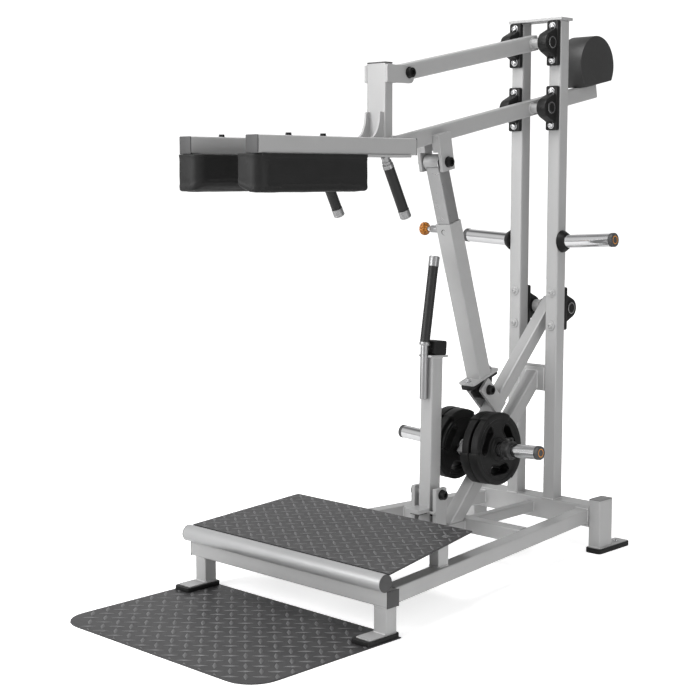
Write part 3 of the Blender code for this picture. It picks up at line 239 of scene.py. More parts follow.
def make_edge_highlight():
    """Where edges are, from the difference between the flat and the rounded normal, broken up by noise: the
    mask for a highlight painted along edges.
    """
    outputs = (("Mask", "Float"), ("Normal", "Vector"))
    tree, given, end = effect("painted_edge_highlight", (("Width", 0.002), ("Strength", 6.0)), outputs)
    soft = added(tree, "Bevel", {"Radius": given["Width"]}, samples=4).outputs["Normal"]
    flat = added(tree, "NewGeometry").outputs["Normal"]
    dot = added(tree, "VectorMath", {0: soft, 1: flat}, operation="DOT_PRODUCT").outputs["Value"]
    strong = maths(tree, "MULTIPLY", maths(tree, "SUBTRACT", 1.0, dot, True), given["Strength"], True)
    broken = maths(tree, "MULTIPLY", cloud(tree, 45.0, 4.0), 1.7, True)
    feed(tree, end, {"Mask": maths(tree, "MULTIPLY", strong, broken, True), "Normal": soft})
    return tree


def make_hide_grain():
    """Pebbled upholstery: cells with creases between them, and softer wrinkles over a hand's width."""
    outputs = (("Height", "Float"), ("Tone", "Float"))
    tree, given, end = effect("hide_grain", (("Pitch", 620.0), ("Wrinkle", 22.0)), outputs)
    place = added(tree, "TexCoord").outputs["Object"]
    cells = added(tree, "TexVoronoi", {"Scale": given["Pitch"], "Vector": place}, feature="SMOOTH_F1")
    wrinkle = cloud(tree, given["Wrinkle"], 5.0)
    pebble = maths(tree, "MULTIPLY", cells.outputs["Distance"], -0.9)
    fold = maths(tree, "MULTIPLY", wrinkle, 1.4)
    feed(tree, end, {"Height": maths(tree, "ADD", pebble, fold), "Tone": wrinkle})
    return tree


def make_dust():
    """Dust that settles on faces that look up."""
    tree, given, end = effect("settled_dust", (("Amount", 0.3),), (("Mask", "Float"),))
    split = added(tree, "SeparateXYZ", {0: added(tree, "NewGeometry").outputs["Normal"]})
    upward = maths(tree, "MAXIMUM", split.outputs["Z"], 0.0)
    patchy = maths(tree, "MULTIPLY", cloud(tree, 9.0, 6.0), upward)
    feed(tree, end, {"Mask": maths(tree, "MULTIPLY", patchy, given["Amount"], True)})
    return tree


# finishes
def grey(tone, blue=0.0):
    return (tone, tone, tone + blue)


def finish(name, colour, roughness, metallic=0.0):
    material = bpy.data.materials.new(name)
    material.use_nodes = True
    tree = material.node_tree
    inputs = {"Base Color": (*colour, 1), "Roughness": roughness, "Metallic": metallic}
    return material, tree, feed(tree, tree.nodes["Principled BSDF"], inputs)


def placed(tree, group, **values):
    return added(tree, "Group", values, node_tree=group).outputs


def between(tree, mask, *colours):
    """Two colours mixed by a mask; either may be another node's colour."""
    first, second = ((*value, 1) if isinstance(value, tuple) else value for value in colours)
    return added(tree, "Mix", {"Factor": mask, "A": first, "B": second}, data_type="RGBA").outputs["Result"]


def raised(tree, shader, height, distance, strength, **normal):
    """The skin's fine relief, as a bump on the shader's normal."""
    bump = added(tree, "Bump", {"Height": height, "Distance": distance, "Strength": strength, **normal})
    feed(tree, shader, {"Normal": bump.outputs["Normal"]})


def coated(name, tones, roughness, metallic, pebble, pitch, edge, dust=0.0, shine=0.5):
    """Paint, plastic or moulded rubber: dark and light tones, a paler tone laid on edges as a painted
    highlight, a fine skin and some dust.
    """
    dark, light, edge_highlight_tone = (grey(tone) if isinstance(tone, float) else tone for tone in tones)
    material, tree, shader = finish(name, light, roughness, metallic)
    skin = placed(tree, COAT_SKIN, Pitch=pitch)
    edges = placed(tree, EDGE_HIGHLIGHT, Width=edge)
    # The edge mask lays the paler third tone on every edge: a painted highlight.
    colour = between(tree, edges["Mask"], between(tree, skin["Tone"], dark, light), edge_highlight_tone)
    if dust:
        colour = between(tree, placed(tree, DUST, Amount=dust)["Mask"], colour, (0.32, 0.31, 0.30))
    rough = spread(tree, skin["Rub"], roughness - 0.07, roughness + 0.07)
    feed(tree, shader, {"Base Color": colour, "Roughness": rough, "Specular IOR Level": shine})
    raised(tree, shader, skin["Height"], pebble, 0.6, Normal=edges["Normal"])
    return material


def bright_metal(name, colour, roughness, stretch, scratch):
    """Bare or plated metal with fine lines along one direction and a hand's smudges in the gloss."""
    material, tree, shader = finish(name, colour, roughness, 1.0)
    lines = cloud(tree, 900.0, 3.0, stretch)
    smudge = cloud(tree, 16.0, 5.0)
    tone = between(tree, smudge, tuple(c * 0.93 for c in colour), colour)
    both = maths(tree, "ADD", maths(tree, "MULTIPLY", lines, 0.5), maths(tree, "MULTIPLY", smudge, 0.5))
    rough = spread(tree, both, roughness * 0.6, roughness * 1.5)
    feed(tree, shader, {"Base Color": tone, "Roughness": rough})
    raised(tree, shader, lines, scratch, 0.5)
    return material


def upholstery():
    material, tree, shader = finish("pebbled_hide", grey(0.010), 0.5)
    grain = placed(tree, HIDE_GRAIN)
    tone = between(tree, grain["Tone"], grey(0.007), grey(0.012))
    tone = between(tree, placed(tree, DUST, Amount=0.04)["Mask"], tone, (0.20, 0.19, 0.18))
    rough = spread(tree, grain["Tone"], 0.42, 0.60)
    feed(tree, shader, {"Base Color": tone, "Roughness": rough, "Specular IOR Level": 0.34})
    raised(tree, shader, grain["Height"], 0.00025, 0.45)
    return material


def speckled_orange():
    material, tree, shader = finish("speckled_orange", (0.70, 0.26, 0.03), 0.5)
    specks = cloud(tree, 300.0, 3.0)
    tone = banded(tree, specks, ((0.42, (0.13, 0.045, 0.004)), (0.62, (0.78, 0.27, 0.02))))
    feed(tree, shader, {"Base Color": tone, "Roughness": spread(tree, specks, 0.40, 0.62)})
    raised(tree, shader, specks, 0.0003, 0.6)
    return material


COAT_SKIN = make_coat_skin()
EDGE_HIGHLIGHT = make_edge_highlight()
HIDE_GRAIN = make_hide_grain()
DUST = make_dust()

# In each finish below, the third tone is its painted edge highlight.
SILVER = coated("silver_powder_coat", (0.405, 0.455, 0.66), 0.36, 0.15, 0.00008, 900.0, 0.0016)
# Paler than the frame's coat: a painted highlight along the weld seams.
WELD_PAINTED_HIGHLIGHT = coated("weld_coat_painted_highlight", (0.56, 0.66, 0.75), 0.34, 0.15, 0.00004, 900.0, 0.0008)
ROLLER_SILVER = coated("roller_silver_coat", ((0.43, 0.432, 0.435), (0.49, 0.492, 0.495), 0.62),
                       0.33, 0.35, 0.00007, 900.0, 0.001)
TREAD = coated("tread_plate_paint", (grey(0.034, 0.002), grey(0.052, 0.002), grey(0.12, 0.002)),
               0.44, 0.30, 0.00018, 520.0, 0.0012, 0.10)
DIAMOND = coated("tread_diamond_tops", (grey(0.120, 0.002), grey(0.170, 0.003), grey(0.38, 0.002)),
                 0.40, 0.35, 0.00008, 520.0, 0.0008)
BOOT_RUBBER = coated("boot_rubber", (0.003, 0.006, 0.015), 0.55, 0.0, 0.00018, 480.0, 0.001, 0.04, 0.36)
PLATE_RUBBER = coated("plate_rubber", (0.003, 0.005, 0.022), 0.46, 0.0, 0.00016, 420.0, 0.0012, 0.02, 0.30)
GRIP_RUBBER = coated("grip_rubber", (0.004, 0.007, 0.020), 0.48, 0.0, 0.00018, 300.0, 0.0008, 0.0, 0.55)
CAST_BLACK = coated("cast_black_paint", (0.006, 0.010, 0.030), 0.42, 0.0, 0.00020, 260.0, 0.0015, 0.02, 0.32)
CLAMP_BLACK = coated("clamp_black_plastic", (0.020, 0.028, 0.080), 0.38, 0.0, 0.00012, 420.0, 0.0014, 0.02)
BLACK_STEEL = coated("blacked_steel", (0.006, 0.010, 0.06), 0.34, 0.40, 0.00004, 800.0, 0.0006)
WEIGHT_BLACK = coated("weight_black_paint", (0.029, 0.038, 0.09), 0.48, 0.05, 0.00010, 420.0, 0.0016, 0.04)
CAP_GREY = coated("cap_grey_plastic", (grey(0.054, 0.001), grey(0.064, 0.001), 0.11),
                  0.50, 0.0, 0.00008, 620.0, 0.0010)
CAP_MIDDLE = coated("cap_middle_grey_plastic", (grey(0.060, 0.001), grey(0.074, 0.001), 0.12),
                    0.50, 0.0, 0.00008, 620.0, 0.0010)
CAP_LIGHT = coated("cap_light_grey_plastic", (grey(0.205, 0.001), grey(0.235, 0.001), 0.30),
                   0.48, 0.0, 0.00008, 620.0, 0.0010)
ORANGE_RING = coated("orange_ring", ((0.66, 0.24, 0.02), (0.78, 0.30, 0.03), (0.85, 0.45, 0.15)),
                     0.45, 0.0, 0.00006, 620.0, 0.0006)
DRAWN_STEEL = coated("drawn_steel_tube", (grey(0.36, 0.002), grey(0.40, 0.002), 0.62),
                     0.30, 0.75, 0.00004, 900.0, 0.0016)
CHROME = bright_metal("chrome_plate", grey(0.80, 0.01), 0.07, (0.05, 1.0, 1.0), 0.000004)
ALUMINIUM = bright_metal("turned_aluminium", grey(0.40, 0.005), 0.34, (1.0, 1.0, 0.08), 0.000006)
ZINC = bright_metal("zinc_plate", grey(0.78, 0.01), 0.20, (1.0, 1.0, 1.0), 0.000006)
HIDE = upholstery()
KNOB_ORANGE = speckled_orange()


# shapes
def stood(bm, matrix):
    bmesh.ops.transform(bm, matrix=matrix, verts=bm.verts)
    return bm


def moved_to(bm, start, along):
    """A shape made on the Z axis, stood at start and turned to point along."""
    turn = along.normalized().to_track_quat("Z", "Y").to_matrix().to_4x4()
    return stood(bm, Matrix.Translation(start) @ turn)


def swept(bm, steps, angle=math.tau):
    """Turns what the mesh holds about the Z axis and merges what meets."""
    geometry = bm.verts[:] + bm.edges[:] + bm.faces[:]
    whole = angle == math.tau
    bmesh.ops.spin(bm, geom=geometry, cent=(0, 0, 0), axis=Z, angle=angle, steps=steps, use_merge=whole)
    bmesh.ops.remove_doubles(bm, verts=bm.verts, dist=1e-6)
    return bm


def lathed(profile, steps, closed=False):
    """A shape turned about Z from (distance, radius) pairs; a closed profile makes a ring."""
    bm = bmesh.new()
    points = [bm.verts.new((radius, 0, distance)) for distance, radius in profile]
    for first, second in zip(points, points[1:] + points[:1] if closed else points[1:]):
        bm.edges.new((first, second))
    return swept(bm, steps)


def turned(start, along, profile, steps, closed=False):
    return moved_to(lathed(profile, steps, closed), start, along)


def capped(profile):
    """The profile with its two ends closed on the axis."""
    return [(profile[0][0], 0.0), *profile, (profile[-1][0], 0.0)]


def solid_bar(start, along, profile, steps):
    return turned(start, along, capped(profile), steps)


def bevelled(bm, edges, width, segments, **limits):
    bmesh.ops.bevel(bm, geom=edges, offset=width, segments=segments, profile=0.5, affect="EDGES", material=-1,
                    **limits)


def softened(bm, width, segments=2, angle=30):
    """Rounds every edge that is sharper than the angle."""
    sharp = [e for e in bm.edges if e.is_manifold and e.calc_face_angle(0) > math.radians(angle)]
    bevelled(bm, sharp, width, segments, clamp_overlap=True)
    return bm


def block(low, high, round_by, segments=2):
    bm = bmesh.new()
    bmesh.ops.create_cube(bm, size=1)
    low, high = Vector(low), Vector(high)
    bmesh.ops.scale(bm, vec=[abs(a) for a in high - low], verts=bm.verts)
    bmesh.ops.translate(bm, vec=(low + high) / 2, verts=bm.verts)
    return softened(bm, round_by, segments)


def ribs(first, last, count, odd, even):
    """Places from first to last with two radii by turns."""
    return [(first + (last - first) * i / count, odd if i % 2 else even) for i in range(count + 1)]


def bead(start, end, radius=0.0027, pitch=0.0030):
    """A weld seam: overlapping scales along a line."""
    along = end - start
    scales = max(4, int(along.length / pitch) * 2)
    return solid_bar(start, along, ribs(0, along.length, scales, radius, radius * 0.86), 8)


def reshaped(bm, widest):
    """Draws each point in or out by what widest says of its distance from Z and its angle."""
    for vert in bm.verts:
        share = widest(math.hypot(vert.co.x, vert.co.y), math.atan2(vert.co.y, vert.co.x))
        vert.co.x *= share
        vert.co.y *= share
    return bm


def button_head(start, along, radius, tall, socket=None):
    """A domed screw head with a hexagon socket."""
    key = socket or radius * 0.45
    profile = [(0, radius * 0.985), (tall * 0.12, radius), (tall * 0.35, radius * 0.97)]
    profile += [(tall * 0.70, radius * 0.85), (tall * 0.92, radius * 0.66), (tall, key * 1.18), (tall, key)]
    profile.append((tall * 0.55, key))

    def hexagon(reach, angle):
        if abs(reach - key) > 1e-5:
            return 1
        return math.cos(math.pi / 6) / math.cos(angle % (math.pi / 3) - math.pi / 6)

    return moved_to(reshaped(lathed(capped(profile), 24), hexagon), start, along)


def cap_screw(start, along, flange, head, tall):
    """A cap screw on a thick washer, with a deep socket."""
    base = 0.0030
    shapes = [washer(start, along, flange, base, head * 0.6)]
    rim = tall * 0.12
    profile = [(0, head), (tall - rim, head), (tall, head - rim), (tall, head * 0.56)]
    profile.append((tall * 0.55, head * 0.50))
    shapes.append(solid_bar(start + along * (base - 0.0004), along, profile, 28))
    return shapes


def hex_head(start, along, radius, tall):
    bm = bmesh.new()
    bmesh.ops.create_cone(bm, cap_ends=True, segments=6, radius1=radius, radius2=radius, depth=tall)
    bmesh.ops.translate(bm, verts=bm.verts, vec=(0, 0, tall / 2))
    top = [e for e in bm.edges if all(v.co.z > tall * 0.9 for v in e.verts)]
    bevelled(bm, top, radius * 0.10, 2)
    return moved_to(bm, start, along)


def collar(start, along, outer, tall, hole, lip, steps):
    """A ring with its outer edges taken off."""
    loop = [(0, hole), (0, outer - lip), (lip, outer), (tall - lip, outer), (tall, outer - lip), (tall, hole)]
    return turned(start, along, loop, steps, closed=True)


def washer(start, along, radius, tall, hole):
    return collar(start, along, radius, tall, hole, tall * 0.3, 28)


def bolted(place, along, ring, lift, head, *sizes):
    """A washer with a screw's head standing on it."""
    return [washer(place, along, *ring), head(place + along * lift, along, *sizes)]


def object_of(name, bm):
    """The mesh as a new object in the scene."""
    mesh = bpy.data.meshes.new(name)
    bm.to_mesh(mesh)
    bm.free()
    obj = bpy.data.objects.new(name, mesh)
    bpy.context.scene.collection.objects.link(obj)
    return obj


def shaded_smooth(obj, material):
    obj.data.materials.clear()
    obj.data.materials.append(material)
    obj.data.polygons.foreach_set("use_smooth", [True] * len(obj.data.polygons))


def joined(shapes):
    """Several shapes as one mesh, each with its faces turned outward."""
    whole = bmesh.new()
    for shape in shapes:
        bmesh.ops.recalc_face_normals(shape, faces=shape.faces)
        part = bpy.data.meshes.new("part")
        shape.to_mesh(part)
        shape.free()
        whole.from_mesh(part)
        bpy.data.meshes.remove(part)
    return whole


def piece(name, body, material, shapes, replaces=(), smooth=32):
    """One finished piece from its shapes, riding on a body."""
    obj = object_of(name, joined(shapes))
    shaded_smooth(obj, material)
    obj.data.set_sharp_from_angle(angle=math.radians(smooth))
    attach(obj, body)
    if replaces:
        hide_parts(*replaces)
    return obj


# the welded frame and the other solids whose form is right
def modified(obj, kind, **settings):
    modifier = obj.modifiers.new(kind.lower(), kind)
    for name, value in settings.items():
        setattr(modifier, name, value)


def dress(node, material, edge=0.0012):
    """A solid of the part with its own finish and lightly rounded edges."""
    obj = frame["nodes"][node]
    shaded_smooth(obj, material)
    modified(obj, "WELD", merge_threshold=0.00002)
    modified(obj, "BEVEL", width=edge, segments=2, limit_method="ANGLE", angle_limit=math.radians(40),
             harden_normals=False, use_clamp_overlap=True)
    modified(obj, "WEIGHTED_NORMAL", keep_sharp=False, mode="FACE_AREA_WITH_ANGLE")


def dress_solids():
    pairs = ("side_rail", "upright", "rear_leg", "front_leg", "pad_arm")
    silver = ["front_cross", "mid_cross", "front_centre_rail", "rear_centre_rail", "brace", "upright_tie"]
    silver += ["top_plate", "rear_cross", "post_clevis", "upper_arm", "lower_arm", "pad_frame"]
    silver += ["link_outer", "lever", "stop_post"]
    silver += [f"{pair}_{side}" for pair in pairs for _, side in SIDES]
    for node in silver:
        dress(node, SILVER)
    dress("link_inner", DRAWN_STEEL)
    for node in ("floor_mat", "platform"):
        dress(node, TREAD, 0.0006)
    for _, side in SIDES:
        dress("rear_boot_" + side, BOOT_RUBBER)
        dress("front_boot_" + side, BOOT_RUBBER)
    dress("post_bumper", BOOT_RUBBER, 0.002)


# tread plate: raised diamonds in two directions
def diamond(bm, centre, turn, long, wide, tall):
    """One raised lozenge with pointed ends and a rounded back."""
    made = bmesh.ops.create_cone(bm, cap_ends=True, segments=8, radius1=1, radius2=0.30, depth=1)["verts"]
    for vert in made:
        vert.co.y *= 1 - 0.62 * abs(vert.co.x)
        vert.co = Vector((vert.co.x * long / 2, vert.co.y * wide / 2, (vert.co.z + 0.5) * tall))
        vert.co.rotate(turn)
        vert.co += centre


def trimmed(bm, planes):
    """Cuts off what stands outside some planes, and closes the cuts."""
    for point, outward in planes:
        geometry = bm.verts[:] + bm.edges[:] + bm.faces[:]
        cut = bmesh.ops.bisect_plane(bm, geom=geometry, dist=1e-6, plane_co=point, plane_no=outward,
                                     clear_outer=True)
        edges = [g for g in cut["geom_cut"] if isinstance(g, bmesh.types.BMEdge)]
        bmesh.ops.holes_fill(bm, edges=edges, sides=0)
    return bm


def tread(name, origin, pitch_x, pitch_y, counts, odd, size, lift, planes, keep):
    """Diamonds on a lattice: lozenges at odd places lean one way and at even places the other."""
    bm = bmesh.new()
    long, wide, tall = size
    for i in range(counts[0]):
        for j in range(counts[1]):
            if i % 2 != j % 2:
                continue
            centre = Vector((origin[0] + pitch_x * i, origin[1] + pitch_y * j, 0))
            lean = Vector((pitch_x, pitch_y if i % 2 != odd else -pitch_y, 0))
            centre.z = lift(centre.y)
            if keep(centre):
                tilt = Vector((0, 0.02, lift(centre.y + 0.02) - centre.z)).normalized()
                across = lean.normalized()
                along = Vector((across.x, across.y * tilt.y, across.y * tilt.z))
                up = X.cross(tilt)
                turn = Matrix((along, up.cross(along), up)).transposed()
                diamond(bm, centre, turn, long, wide, tall)
    piece(name, "frame", DIAMOND, [trimmed(bm, planes)], smooth=20)


def plate_sides(half, low, high, narrow=0.0):
    """Planes just inside the edges of a plate, which may grow narrower to the rear."""
    edge = 0.003
    planes = [(Vector((s * (half - edge), low.y, 0)), Vector((s, narrow, 0)).normalized()) for s in (1, -1)]
    return planes + [(Vector((0, low.y + edge, 0)), -Y), (Vector((0, high.y - edge, 0)), Y)]


def tread_plates():
    """The floor mat's diamonds, whose front corners are cut round, and the sloped step's."""
    low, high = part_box("floor_mat")
    corner = 0.095
    beyond = 0.01

    def on_mat(centre):
        over_x = max(0, abs(centre.x) - (high.x - corner))
        over_y = max(0, (low.y + corner) - centre.y)
        inside = math.hypot(over_x, over_y) < corner - 0.022 if over_x and over_y else True
        return inside and abs(centre.x) < high.x + beyond and low.y - beyond < centre.y < high.y + beyond

    start = at(-0.3145 - 0.0321 * 5, -0.222 - 0.0289 * 13, 0)
    tread("mat_diamonds", start, 0.0321, 0.0289, (31, 22), 0, (0.052, 0.0130, 0.0021),
          lambda y: high.z - 0.0001, plate_sides(high.x, low, high), on_mat)
    front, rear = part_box("platform")
    long = rear.y - front.y
    rise = (0.246 - 0.206) / long
    narrow = (0.440 - 0.392) / long

    def half(y):
        return 0.440 - narrow * (y - front.y)

    def on_step(centre):
        return abs(centre.x) < half(centre.y) + beyond and front.y - beyond < centre.y < rear.y + beyond

    start = at(-0.3875 - 0.02883 * 4, 0.088 - 0.0217 * 8, 0)
    tread("step_diamonds", start, 0.02883, 0.0217, (36, 25), 1, (0.0470, 0.0100, 0.0017),
          lambda y: 0.206 + rise * (y - front.y) - 0.0001, plate_sides(0.440, front, rear, narrow), on_step)


# front tubes and feet
def foot_roller():
    """The bright roller bar on its seam, with the plugs in its ends and in the front cross."""
    radius = 0.0266
    centre = at(0, -0.0675, 0.1807)
    plug = 0.003
    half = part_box("roller_tube")[1].x - plug
    rim = 0.0012
    bar = [(0, radius - rim), (rim, radius), (2 * half - rim, radius), (2 * half, radius - rim)]
    tube = solid_bar(centre - X * half, X, bar, 64)
    seam = bead(at(-0.433, -0.0603, 0.1543), at(0.433, -0.0603, 0.1543), 0.0028, 0.0032)
    piece("foot_roller", "frame", ROLLER_SILVER, [tube, seam], ["roller_tube"])
    end = [(0, radius + 0.0001), (plug - 0.0014, radius + 0.0001), (plug - 0.0002, radius - rim)]
    end.append((plug, radius - 0.003))
    ends = [solid_bar(centre + X * side * half, X * side, end, 48) for side in (1, -1)]
    piece("roller_plugs", "frame", CAP_GREY, ends)
    low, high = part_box("front_cross")
    lip = 0.0004
    plugs = []
    for side in (1, -1):
        face = side * high.x
        inmost = (face - side * 0.0005, low.y - lip, low.z - lip)
        plugs.append(block(inmost, (face + side * 0.0022, high.y + lip, high.z + lip), 0.0018, 3))
    piece("cross_plugs", "frame", CAP_GREY, plugs)


def floor_bolts():
    """The countersunk bolt in the tread plate, and the bolts in the rear feet."""
    tilt = Vector((0, -0.040, 0.4395)).normalized()
    place = at(0.356, 0.304, 0.2382)
    ring = washer(place - tilt * 0.0008, tilt, 0.0118, 0.0020, 0.0072)
    head = button_head(place - tilt * 0.0006, tilt, 0.0074, 0.0014, 0.0040)
    piece("step_bolt_rings", "frame", ALUMINIUM, [ring])
    piece("step_bolts", "frame", CAP_LIGHT, [head])
    shapes = []
    for side in (1, -1):
        place = at(side * 0.2925, 1.352, 0.0203)
        shapes += bolted(place, Z, (0.0105, 0.0016, 0.006), 0.0012, button_head, 0.0080, 0.0040)
    piece("foot_bolts", "frame", ZINC, shapes)


def tube_plugs():
    """Dark plastic plugs in the open tube ends."""
    column = block(at(-0.0396, 0.3654, 1.7072), at(0.0396, 0.4026, 1.7127), 0.0022, 3)
    piece("column_plug", "pad_frame", CAP_GREY, [column])
    legs = (0.2638, 1.2158, 0.1898), (0.3124, 1.2952, 0.1940)
    noses = (0.1198, -0.3062, 1.4158), (0.1712, -0.3015, 1.4682)
    tails = (0.1196, 0.3688, 1.4156), (0.1714, 0.3712, 1.4684)
    for name, body, material, (low, high), round_by, segments in (
        ("rear_leg_plugs", "frame", CAP_LIGHT, legs, 0.0018, 3),
        ("pad_arm_plugs", "pad_frame", CAP_MIDDLE, noses, 0.0022, 3),
        ("pad_arm_tail_plugs", "pad_frame", CAP_GREY, tails, 0.0008, 2),
    ):
        ends = [(at(side * low[0], *low[1:]), at(side * high[0], *high[1:])) for side in (1, -1)]
        piece(name, body, material, [block(*corners, round_by, segments) for corners in ends])


# bearings
FOOT_DROP = 0.045
FOOT_TOP = FOOT_DROP - 0.0168
BOLT_REACH = 0.060
HOUSING_MIDDLE = 0.083


def block_reach(angle, head, shoulder, drop):
    """Distance from the bore's middle to a pillow block's outline, at an angle from its top."""
    turn = abs((angle + math.pi) % math.tau - math.pi)
    corner = math.atan2(shoulder, -drop)
    flank = corner - math.acos(head / math.hypot(shoulder, drop))
    if turn <= flank:
        return head
    if turn >= corner:
        return drop / abs(math.cos(turn))
    return head / math.cos(turn - flank)


def pillow_casting(bore, out, along, x_from, x_to, hole):
    """The housing: a ring that runs down into its foot, and the foot with rounded ends."""
    cut = 0.005
    head = 0.036
    wide = abs(x_to - x_from)
    sideways = out.cross(along)
    turn = Matrix((out, along, sideways)).transposed().to_4x4()
    ring = bmesh.new()
    bmesh.ops.create_circle(ring, segments=56, radius=hole)
    for vert in bmesh.ops.create_circle(ring, segments=56, radius=head)["verts"]:
        angle = math.atan2(vert.co.y, vert.co.x)
        vert.co = Vector((math.cos(angle), math.sin(angle), 0)) * block_reach(angle, head, 0.0535, 0.031)
    faces = bmesh.ops.bridge_loops(ring, edges=ring.edges[:])["faces"]
    lifted = bmesh.ops.extrude_face_region(ring, geom=faces)["geom"]
    far = [g for g in lifted if isinstance(g, bmesh.types.BMVert)]
    bmesh.ops.translate(ring, vec=(0, 0, wide - 2 * cut), verts=far)
    bmesh.ops.recalc_face_normals(ring, faces=ring.faces)
    softened(ring, 0.0022, 3, 50)
    near_x = min(x_from, x_to) + cut if sideways.x > 0 else max(x_from, x_to) - cut
    stood(ring, Matrix.Translation((near_x, bore.y, bore.z)) @ turn)
    foot = bmesh.new()
    bmesh.ops.create_cube(foot, size=1)
    bmesh.ops.scale(foot, vec=(0.0167, 0.157, wide), verts=foot.verts)
    upright = [e for e in foot.edges if abs(e.verts[0].co.x - e.verts[1].co.x) > 0.01]
    bevelled(foot, upright, 0.006, 4)
    softened(foot, 0.0018, 2, 50)
    middle = bore - out * (FOOT_DROP - 0.00865)
    middle.x = (x_from + x_to) / 2
    return [ring, stood(foot, Matrix.Translation(middle) @ turn)]


def race(bore, x_from, x_to):
    """The bearing's inner ring and locking collar."""
    start = Vector((min(x_from, x_to), bore.y, bore.z))
    return collar(start, X, 0.0235, abs(x_to - x_from), 0.0155, 0.0012, 48)


def shield(bore, x, side):
    """The thin seal between the collar and the housing."""
    loop = [(0, 0.0235), (0, 0.0305), (0.0012, 0.0300), (0.0016, 0.0265), (0.0010, 0.0235)]
    return turned(Vector((x, bore.y, bore.z)), X * side, loop, 48, closed=True)


def foot_bolt(bore, out, reach):
    """A bolt's head on a pillow block's foot."""
    ring = (0.0135, 0.0020, 0.006)
    return bolted(bore - out * FOOT_TOP + reach, out, ring, 0.0015, button_head, 0.0114, 0.0098, 0.0045)


def bearings():
    """Six pillow blocks on the uprights, with what turns in them."""
    nipple = [(0, 0.0030), (0.002, 0.0030), (0.0025, 0.0018), (0.0045, 0.0020)]
    shaft_end = [(0, 0.0151), (0.0016, 0.0151), (0.0022, 0.0142)]
    through = (0.0178, 0.0036, 0.006), 0.0034, button_head, 0.0108, 0.0070, 0.0042
    for name, bore, out, shaft, hub, wall in (
        ("upper_bearing", UPPER_REAR, -Y, "upper_arm", 0.0165, 0.020),
        ("lower_bearing", LOWER_REAR, -Y, "lower_arm", 0.0165, 0.020),
        ("lever_bearing", LEVER_REAR, Y, "weight_lever", 0.024, 0.025),
    ):
        weld = [(0, hub - 0.001), (0, hub + 0.0050), (0.0010, hub + 0.0046), (0.0016, hub + 0.0030)]
        weld.append((0.0030, hub))
        bolts, heads, rings, nipples, lips, ends, collars, seals = ([] for _ in range(8))
        for side, word in SIDES:
            outward = X * side
            casting = pillow_casting(bore, out, Z, side * 0.059, side * 0.107, 0.0240)
            piece(f"{name}_casting_{word}", "frame", CAST_BLACK, casting, [f"{name}_{word}"])
            middle = Vector((side * HOUSING_MIDDLE, bore.y, bore.z))
            for end in (-1, 1):
                reach = Z * end * BOLT_REACH
                bolts += foot_bolt(middle, out, reach)
                heads += bolted(middle - out * (FOOT_DROP + 0.052) + reach, -out, *through)
            rings.append(race(bore, side * 0.0615, side * 0.1053))
            seals.append(shield(bore, side * 0.1018, side))
            nipples.append(solid_bar(middle + out * 0.0345, out, nipple, 12))
            lips.append(washer(bore + outward * 0.1052, outward, 0.0204, 0.0008, 0.0184))
            ends.append(solid_bar(bore + outward * 0.1060, outward, shaft_end, 36))
            collars.append(turned(bore + outward * wall, outward, weld, 48, True))
        for label, body, material, shapes in (
            ("bolts", "frame", ZINC, bolts),
            ("through_bolts", "frame", SILVER, heads),
            ("races", "frame", BLACK_STEEL, rings),
            ("nipples", "frame", BLACK_STEEL, nipples),
            ("lips", "frame", ZINC, lips),
            ("shaft_ends", shaft, BLACK_STEEL, ends),
            ("hub_welds", shaft, WELD_PAINTED_HIGHLIGHT, collars),
            ("seals", "frame", BOOT_RUBBER, seals),
        ):
            piece(f"{name}_{label}", body, material, shapes)


def pivot_bolts():
    """Blacked socket bolts through the pivots, the buffers at the post's foot and the link's washers."""
    for name, body, places in (
        ("column_bolts", "pad_frame", ((UPPER_FRONT, 0.050), (LOWER_FRONT, 0.050))),
        ("link_top_bolt", "lower_arm", ((LINK_TOP, 0.052),)),
        ("link_foot_bolt", "weight_lever", ((LINK_FOOT, 0.036),)),
        ("post_bolt", "frame", ((POST_FOOT, 0.0565),)),
    ):
        shapes = []
        for pivot, out in places:
            for side in (1, -1):
                shapes += cap_screw(Vector((side * out, pivot.y, pivot.z)), X * side, 0.0185, 0.0162, 0.0135)
        piece(name, body, BLACK_STEEL, shapes)
    stop = button_head(at(0.0262, 0.622, 0.203), X, 0.0105, 0.0075, 0.0045)
    piece("post_stop_bolt", "stop_post", BOOT_RUBBER, [stop])
    buffer = block(at(-0.012, 0.553, 0.2070), at(0.0275, 0.597, 0.2118), 0.0012)
    piece("shelf_buffer", "frame", BOOT_RUBBER, [buffer])
    starts = [(side, Vector((side * 0.0374, LINK_TOP.y, LINK_TOP.z))) for side in (1, -1)]
    rings = [washer(start, X * side, 0.0245, 0.0024, 0.0095) for side, start in starts]
    piece("link_top_washers", "lower_arm", BLACK_STEEL, rings)


# pad frame
def pad_arm_bolts():
    shapes = []
    for side in (1, -1):
        for y in (-0.162, -0.021):
            place = at(side * 0.1455, y, 1.4678)
            shapes += bolted(place, Z, (0.0115, 0.0016, 0.005), 0.0015, hex_head, 0.0092, 0.0070)
    piece("pad_arm_bolts", "pad_frame", BLACK_STEEL, shapes)


def pad_boards():
    """The black covered board between each arm and its cushion."""
    for side, word in SIDES:
        cover = block(at(side * 0.1148, -0.2912, 1.4079), at(side * 0.1762, 0.1405, 1.4162), 0.0012)
        piece("pad_board_" + word, "pad_frame", BOOT_RUBBER, [cover])


